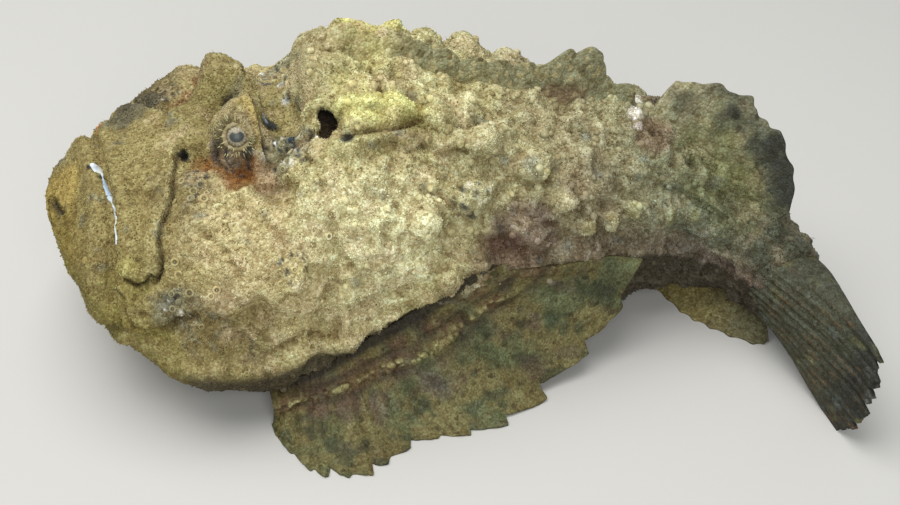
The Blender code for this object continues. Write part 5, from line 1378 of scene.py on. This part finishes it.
def grained_skin(name, grain_size, contrast, depth, roughness):
    """Skin that takes its colour from the mesh, broken up by sand-like grains that also give it bump, with
    painted shade between the grains.
    """
    material, tree, shader = shader_of(name, roughness)
    shader.inputs["Specular IOR Level"].default_value = 0.30
    place_of = node(tree, "ShaderNodeTexCoord").outputs["Object"]
    tone = node(tree, "ShaderNodeAttribute", attribute_name="Tone").outputs["Color"]
    noise = node(tree, "ShaderNodeTexNoise", {"Vector": place_of, "Scale": 0.45 / grain_size, "Detail": 3.0})
    sway = scaled(tree, noise.outputs["Color"], 0.8 * grain_size)
    bent = node(tree, "ShaderNodeVectorMath", {0: place_of, 1: sway}, operation="ADD").outputs["Vector"]
    grain = node(tree, "ShaderNodeTexVoronoi", {"Vector": bent, "Scale": 1.0 / grain_size})
    coarse = node(tree, "ShaderNodeTexVoronoi", {"Vector": bent, "Scale": 0.42 / grain_size})
    apart = node(tree, "ShaderNodeSeparateColor", {"Color": grain.outputs["Color"]})
    second = node(tree, "ShaderNodeSeparateColor", {"Color": coarse.outputs["Color"]})
    fleck = spread(tree, apart.outputs["Red"], 1.0 - contrast, 1.0 + contrast)
    cloud = spread(tree, second.outputs["Red"], 1.0 - 0.45 * contrast, 1.0 + 0.45 * contrast)
    light = times(tree, fleck, cloud)
    # Darker towards each grain's edge, where the bump is low: painted shade in the gaps between grains.
    rim = spread(tree, grain.outputs["Distance"], 1.10, 0.66)
    light = times(tree, light, rim)
    pit = node(tree, "ShaderNodeMapRange", {"Value": second.outputs["Green"], "From Min": 0.06,
                                            "From Max": 0.14, "To Min": 0.60, "To Max": 1.0})
    light = times(tree, light, pit.outputs["Result"])
    bright = node(tree, "ShaderNodeMapRange", {"Value": light, "From Min": 0.5, "From Max": 1.5})
    tint = node(tree, "ShaderNodeMix", {"Factor": bright.outputs["Result"], "A": (1.11, 0.98, 0.78, 1.0),
                                        "B": (0.90, 1.02, 1.22, 1.0)}, data_type="RGBA")
    tinted = multiply_colour(tree, tone, node_colour(tint))
    tree.links.new(scaled(tree, tinted, light), shader.inputs["Base Color"])
    hill = spread(tree, grain.outputs["Distance"], 1.0, 0.0)
    hill = plus(tree, hill, noise.outputs["Fac"])
    bumped = node(tree, "ShaderNodeBump", {"Height": hill, "Strength": 0.9, "Distance": depth})
    tree.links.new(bumped.outputs["Normal"], shader.inputs["Normal"])
    return material


def node_colour(made):
    """The colour output of a Mix node, which has one output for each kind of data."""
    return next(out for out in made.outputs if out.type == "RGBA" and out.enabled)


def eye_gloss():
    """A wet eye that takes its colour from the mesh."""
    material, tree, shader = shader_of("wet_eye", 0.45)
    shader.inputs["Coat Weight"].default_value = 0.15
    shader.inputs["Coat Roughness"].default_value = 0.20
    place_of = node(tree, "ShaderNodeTexCoord").outputs["Object"]
    tone = node(tree, "ShaderNodeAttribute", attribute_name="Tone").outputs["Color"]
    noise = node(tree, "ShaderNodeTexNoise", {"Vector": place_of, "Scale": 1500.0, "Detail": 3.0})
    light = spread(tree, noise.outputs["Fac"], 0.6, 1.4)
    tree.links.new(scaled(tree, tone, light), shader.inputs["Base Color"])
    return material


# The coat of small forms

def tufts(name, roots, shape, faces, wide, tall, lean, draw, material, patches, light=None):
    """Many copies of one small shape, joined: each is turned at random about its root's normal.

    A point (x, y, z) of the shape goes to root + wide * (x, y turned) + tall * z * normal
    + lean * tall * z^2.
    """
    points, normals, tones = roots
    count = len(points)
    helper = np.where(np.abs(normals[:, 2:3]) < 0.9, [[0.0, 0.0, 1.0]], [[1.0, 0.0, 0.0]])
    side = np.cross(normals, helper)
    side /= np.linalg.norm(side, axis=1, keepdims=True)
    fore = np.cross(normals, side)
    turn = draw.uniform(0.0, 2.0 * math.pi, (count, 1))
    x = shape[:, 0] * np.cos(turn) - shape[:, 1] * np.sin(turn)
    y = shape[:, 0] * np.sin(turn) + shape[:, 1] * np.cos(turn)
    wide = wide.reshape(-1, 1)
    tall = tall.reshape(-1, 1)
    made = (points[:, None, :] + (x * wide)[..., None] * side[:, None, :]
            + (y * wide)[..., None] * fore[:, None, :]
            + (shape[:, 2] * tall)[..., None] * normals[:, None, :]
            + (np.clip(shape[:, 2], 0.0, None) ** 2 * tall)[..., None] * lean[:, None, :])
    made[..., 2] = np.maximum(made[..., 2], 0.0)
    size = len(shape)
    joined = (faces[None, :, :] + (np.arange(count) * size)[:, None, None]).reshape(-1, faces.shape[1])
    if light is None:
        light = np.ones(size)
    tone = tones[:, None, :] * np.asarray(light)[None, :, None]
    patch = patches[:, None, :] + 0.0014 * shape[None, :, :2] / np.abs(shape[:, :2]).max()
    return mesh_piece(name, made.reshape(-1, 3), [joined], tone.reshape(-1, 3), material,
                      patch.reshape(-1, 2))


def grain_shape():
    """A grain: a four-sided double pyramid, its lower point sunk in the skin."""
    points = np.array([(0, 0, -0.6), (1, 0, 0.1), (0, 1, 0.1), (-1, 0, 0.1), (0, -1, 0.1), (0, 0, 1.0)])
    faces = [(0, 2, 1), (0, 3, 2), (0, 4, 3), (0, 1, 4), (5, 1, 2), (5, 2, 3), (5, 3, 4), (5, 4, 1)]
    return points, np.array(faces)


def ring_stack(rings, sides, tip, foot):
    """Points and faces of a closed stack of rings, each (radius, height), with a tip and a foot point."""
    angle = 2.0 * math.pi * np.arange(sides) / sides
    points = [(wide * math.cos(a), wide * math.sin(a), z) for wide, z in rings for a in angle]
    points += [(0.0, 0.0, tip), (0.0, 0.0, foot)]
    faces = []
    for i in range(len(rings) - 1):
        for k in range(sides):
            a, b = i * sides + k, i * sides + (k + 1) % sides
            faces += [(a, b, b + sides), (a, b + sides, a + sides)]
    top = (len(rings) - 1) * sides
    for k in range(sides):
        faces.append((top + k, top + (k + 1) % sides, len(points) - 2))
        faces.append(((k + 1) % sides, k, len(points) - 1))
    return np.array(points), np.array(faces)


def dome_shape(sides):
    """A wart: rings that round over to a tip, its foot sunk in the skin."""
    return ring_stack(((1.05, -0.45), (1.0, 0.15), (0.86, 0.62), (0.50, 0.92)), sides, 1.0, -0.45)


def strand_shape(sides, rings):
    """A tapered filament from its sunk root to its tip."""
    stack = [(1.0 - 0.75 * i / rings, -0.15 + 1.15 * i / rings) for i in range(rings)]
    return ring_stack(stack, sides, 1.0, -0.15)


def pore_shape(sides):
    """A ring pore: a low pale rim round a dip that is painted dark as shade, with how light each ring is."""
    rings = ((1.30, -0.50, 1.0), (1.12, 0.35, 1.15), (0.80, 0.50, 1.2), (0.48, 0.05, 0.35),
             (0.20, -0.10, 0.16))
    points, faces = ring_stack([ring[:2] for ring in rings], sides, -0.12, -0.50)
    light = [shade for _, _, shade in rings for _ in range(sides)] + [0.14, 1.0]
    return points, faces, np.array(light)


def skin_patch(s, phi):
    """Where a root lies on the skin unrolled: s across, phi up."""
    return np.stack([0.02 + 0.96 * s / BODY_LENGTH, 0.5 + 0.48 * phi / math.pi], axis=-1)


def visible_share(surface):
    """Where forms of the coat grow: all but the underside."""
    return smooth((surface.points[..., 2] - 0.0015) / 0.004)


def nearest_roots(skin, places):
    """The skin's grid points nearest to named places (s, phi in degrees), as roots of a coat."""
    rows = np.abs(skin.first[:, :1] - places[:, 0]).argmin(axis=0)
    cols = np.abs(skin.second[:1, :].T - np.radians(places[:, 1])).argmin(axis=0)
    return (skin.points[rows, cols], skin.normals[rows, cols], skin.tone[rows, cols], skin.first[rows, cols],
            skin.second[rows, cols])


# Ring pores of the snout and cheek: s, phi, radius
RING_PORES = np.array([
    (0.0448, 22.1, 0.0011), (0.0474, 26.7, 0.0013), (0.0500, 25.1, 0.0011), (0.0461, 29.0, 0.0012),
    (0.0500, 29.8, 0.0013), (0.0448, 18.3, 0.0010), (0.0546, 21.3, 0.0011), (0.0409, 28.2, 0.0009),
    (0.0383, 32.1, 0.0009), (0.0377, 37.6, 0.0011), (0.0364, 41.6, 0.0010), (0.0370, 48.3, 0.0012),
    (0.0370, 52.6, 0.0012), (0.0390, 59.0, 0.0013), (0.0474, 58.1, 0.0012), (0.0455, 60.0, 0.0010),
    (0.0727, 54.4, 0.0010), (0.0786, 55.3, 0.0010), (0.0825, 57.2, 0.0011), (0.0662, 58.1, 0.0010),
    (0.0708, 58.1, 0.0010), (0.0883, 67.0, 0.0013), (0.0955, 71.3, 0.0012), (0.0890, 72.0, 0.0014),
    (0.0929, 55.3, 0.0010), (0.0961, 60.0, 0.0010), (0.1000, 66.0, 0.0010), (0.0790, 27.0, 0.0010),
    (0.0830, 24.0, 0.0010), (0.0760, 25.5, 0.0009), (0.0810, 30.0, 0.0009), (0.0855, 29.0, 0.0010),
    (0.0340, 60.0, 0.0009), (0.0330, 66.0, 0.0010), (0.0365, 69.0, 0.0009), (0.0400, 71.0, 0.0009),
])


STREWN_PORES = 320


def pores(skin, material):
    """Ring pores, named ones on both cheeks and small ones strewn over the head."""
    both = np.concatenate([RING_PORES, RING_PORES * [1.0, -1.0, 1.0]])
    named = nearest_roots(skin, both)
    head = smooth((skin.first - 0.008) / 0.02) * (1.0 - smooth((skin.first - 0.085) / 0.03))
    strewn = skin.roots(STREWN_PORES, visible_share(skin) * head, 640)
    points, normals, tones, s, phi = (np.concatenate(pair) for pair in zip(named, strewn))
    draw = np.random.default_rng(740)
    wide = np.concatenate([both[:, 2], draw.uniform(0.00035, 0.00075, STREWN_PORES)])
    shape, faces, light = pore_shape(7)
    tones = mix(tones, CHEEK_SAND, np.full(len(tones), 0.25))
    return tufts("ring_pores", (points, normals, tones), shape, faces, wide, wide * 0.55,
                 np.zeros((len(points), 3)), draw, material, skin_patch(s, phi), light)


FRINGE_PAPILLAE = 60


def eye_fringe(side, material, name):
    """Pale papillae that stand round an eye's lid and lean away from it."""
    centre, look, across, up = eye_axes(side)
    draw = np.random.default_rng(750 + side)
    count = FRINGE_PAPILLAE
    turn = np.linspace(0.0, 2.0 * math.pi, count + 1)[:-1] + draw.normal(0.0, 0.12, count)
    spoke = np.cos(turn)[:, None] * across + np.sin(turn)[:, None] * up
    out = LID_RING + draw.uniform(0.0000, 0.0026, count)
    points = centre + look * (EYE_RADIUS * EYE_SUNK + 0.0002) + spoke * out[:, None]
    normals = look * 0.75 + spoke * 0.66
    tones = mix(np.broadcast_to(FLANK_CREAM, points.shape), MOUND_TAN, draw.uniform(0.3, 1.1, count))
    shape, faces = strand_shape(6, 4)
    at = skin_patch(np.full(count, MOUND_S[side]), np.full(count, side * math.radians(EYE_DEGREES[side])))
    return tufts(name, (points, normals, tones), shape, faces, draw.uniform(0.00014, 0.00030, count),
                 draw.uniform(0.0003, 0.0012, count), spoke * 0.8, draw, material, at)


# The grains of each stretch of the body: name, from s, to s, how many
GRAIN_ZONES = (
    ("grains_head", 0.0, 0.088, 24000),
    ("grains_trunk", 0.088, 0.165, 24000),
    ("grains_tail", 0.165, 0.270, 20000),
)
WARTS = 1300
FILAMENTS = 2600


def coat_of_body(skin, material):
    """Grains, warts, pores and filaments of the body's skin, in the skin's own colours."""
    made = []
    open_air = visible_share(skin)
    shape, faces = grain_shape()
    for seed, (name, start, end, count) in enumerate(GRAIN_ZONES):
        inside = open_air * (skin.first >= start) * (skin.first < end)
        points, normals, tones, s, phi = skin.roots(count, inside, 600 + seed)
        draw = np.random.default_rng(700 + seed)
        shade = draw.lognormal(0.01, 0.20, count)
        tint = 1.0 + draw.normal(0.0, 0.05, (count, 1)) * np.array([[1.0, -0.2, -0.8]])
        wide = draw.uniform(0.00018, 0.00048, count)
        tall = draw.uniform(0.00014, 0.00042, count)
        lean = draw.normal(0.0, 0.5, (count, 3))
        roots = (points, normals, shaded(tones, shade) * tint)
        made.append(tufts(name, roots, shape, faces, wide, tall, lean, draw, material, skin_patch(s, phi)))

    shape, faces = dome_shape(8)
    trunk = open_air * (0.06 + smooth((skin.first - 0.08) / 0.05))
    points, normals, tones, s, phi = skin.roots(WARTS, trunk, 610)
    draw = np.random.default_rng(710)
    wide = draw.uniform(0.0005, 0.0014, WARTS) * (1.0 - 0.3 * smooth((s - 0.2) / 0.05))
    roots = (points, normals, tones * draw.uniform(0.85, 1.25, (WARTS, 1)))
    tall = wide * draw.uniform(0.5, 0.9, WARTS)
    lean = draw.normal(0.0, 0.2, (WARTS, 3))
    made.append(tufts("warts", roots, shape, faces, wide, tall, lean, draw, material, skin_patch(s, phi)))

    shape, faces = strand_shape(5, 4)
    back = smooth((skin.first - 0.086) / 0.006) * (1.0 - smooth((np.abs(skin.second) - 0.3) / 0.3))
    points, normals, tones, s, phi = skin.roots(FILAMENTS, open_air * (1.0 + 3.0 * back), 620)
    draw = np.random.default_rng(720)
    roots = (points, normals, tones * draw.uniform(0.7, 1.4, (FILAMENTS, 1)))
    wide = draw.uniform(0.00008, 0.00016, FILAMENTS)
    tall = draw.uniform(0.0004, 0.0012, FILAMENTS) * (0.5 + 0.5 * smooth(s / 0.09))
    lean = draw.normal(0.0, 0.6, (FILAMENTS, 3))
    made.append(tufts("filaments", roots, shape, faces, wide, tall, lean, draw, material, skin_patch(s, phi)))

    made.append(pores(skin, material))
    made.append(eye_fringe(1, material, "eye_fringe_left"))
    made.append(eye_fringe(-1, material, "eye_fringe_right"))
    return made


# The studio

FLOOR_HALF_SIZE = 3.0
# Soft lamps: name, place, width, power
LAMPS = (("overhead", (-0.25, 0.05, 0.95), 0.9, 11.5), ("front", (0.15, -1.1, 0.75), 0.8, 8.5))
LAMP_TARGET = (0.0, 0.0, 0.03)


def studio():
    """A plain pale floor, soft light from above, and the camera."""
    mesh = bpy.data.meshes.new("floor")
    size = FLOOR_HALF_SIZE
    corners = [(-size, -size, 0.0), (size, -size, 0.0), (size, size, 0.0), (-size, size, 0.0)]
    mesh.from_pydata(corners, [], [(0, 1, 2, 3)])
    floor = bpy.data.objects.new("floor", mesh)
    bpy.context.scene.collection.objects.link(floor)
    material, _, shader = shader_of("pale_floor", 0.9)
    shader.inputs["Base Color"].default_value = (0.50, 0.49, 0.46, 1.0)
    mesh.materials.append(material)
    for name, at, across, power in LAMPS:
        lamp = bpy.data.lights.new(name, "AREA")
        lamp.size = across
        lamp.energy = power
        holder = bpy.data.objects.new(name, lamp)
        bpy.context.scene.collection.objects.link(holder)
        holder.location = at
        aim(holder, LAMP_TARGET)
    world = bpy.data.worlds.new("studio")
    world.use_nodes = True
    background = world.node_tree.nodes["Background"]
    background.inputs["Color"].default_value = (0.9, 0.95, 1.0, 1.0)
    background.inputs["Strength"].default_value = 0.35
    bpy.context.scene.world = world
    bpy.context.scene.view_settings.view_transform = "Standard"
    lens = bpy.data.cameras.new("camera")
    lens.sensor_fit = "HORIZONTAL"
    lens.angle = CAMERA_VIEW
    lens.clip_start = 0.01
    camera = bpy.data.objects.new("camera", lens)
    bpy.context.scene.collection.objects.link(camera)
    camera.location = CAMERA_PLACE
    aim(camera, CAMERA_TARGET)
    bpy.context.scene.camera = camera


def aim(obj, target):
    """Turns a lamp or the camera towards a point, upright."""
    direction = Vector(target) - obj.location
    obj.rotation_euler = direction.to_track_quat("-Z", "Y").to_euler()


def stand_for(piece, slot, *nodes):
    """A piece rides on the one body and takes the place of solids; the slot is not used."""
    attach(piece, "root")
    if nodes:
        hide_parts(*nodes)


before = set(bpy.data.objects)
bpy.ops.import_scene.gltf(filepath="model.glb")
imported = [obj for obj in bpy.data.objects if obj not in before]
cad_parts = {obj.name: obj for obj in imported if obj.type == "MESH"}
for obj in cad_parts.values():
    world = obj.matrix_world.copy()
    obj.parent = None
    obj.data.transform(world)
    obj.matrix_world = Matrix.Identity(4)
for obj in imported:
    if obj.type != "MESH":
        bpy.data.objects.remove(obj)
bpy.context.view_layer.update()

body_finish = grained_skin("sandy_skin", 0.00075, 0.30, 0.00030, 0.80)
fin_finish = grained_skin("dark_fin_skin", 0.00065, 0.34, 0.00025, 0.66)
coat_finish = grained_skin("papilla_skin", 0.00120, 0.16, 0.00015, 0.78)

skin = skin_surface()
stand_for(tube_piece("skin", skin, body_finish), "back_skin", "lower_jaw", "head", "trunk", "tail_stalk")
for side, word in ((1, "left"), (-1, "right")):
    stand_for(pectoral_fin("pectoral_web_" + word, side, fin_finish), "fin_skin", "pectoral_fin_" + word)
    stand_for(pelvic_fin("pelvic_web_" + word, side, fin_finish), "fin_skin", "pelvic_fin_" + word)
stand_for(spinous_dorsal(body_finish), "back_skin", "dorsal_fin_spinous")
stand_for(soft_dorsal(body_finish), "tail_skin", "dorsal_fin_soft")
stand_for(anal_fin(fin_finish), "fin_skin", "anal_fin")
stand_for(caudal_fin(fin_finish), "tail_fin_skin", "caudal_fin")
wet = eye_gloss()
stand_for(mouth_membrane(skin, wet), "head_skin")
stand_for(eye("eyeball_left", 1, wet), "eye", "eye_left")
stand_for(eye("eyeball_right", -1, wet), "eye", "eye_right")
stand_for(eyelid("eyelid_left", 1, coat_finish), "head_skin")
stand_for(eyelid("eyelid_right", -1, coat_finish), "head_skin")
for piece in coat_of_body(skin, coat_finish):
    stand_for(piece, "back_skin")
studio()
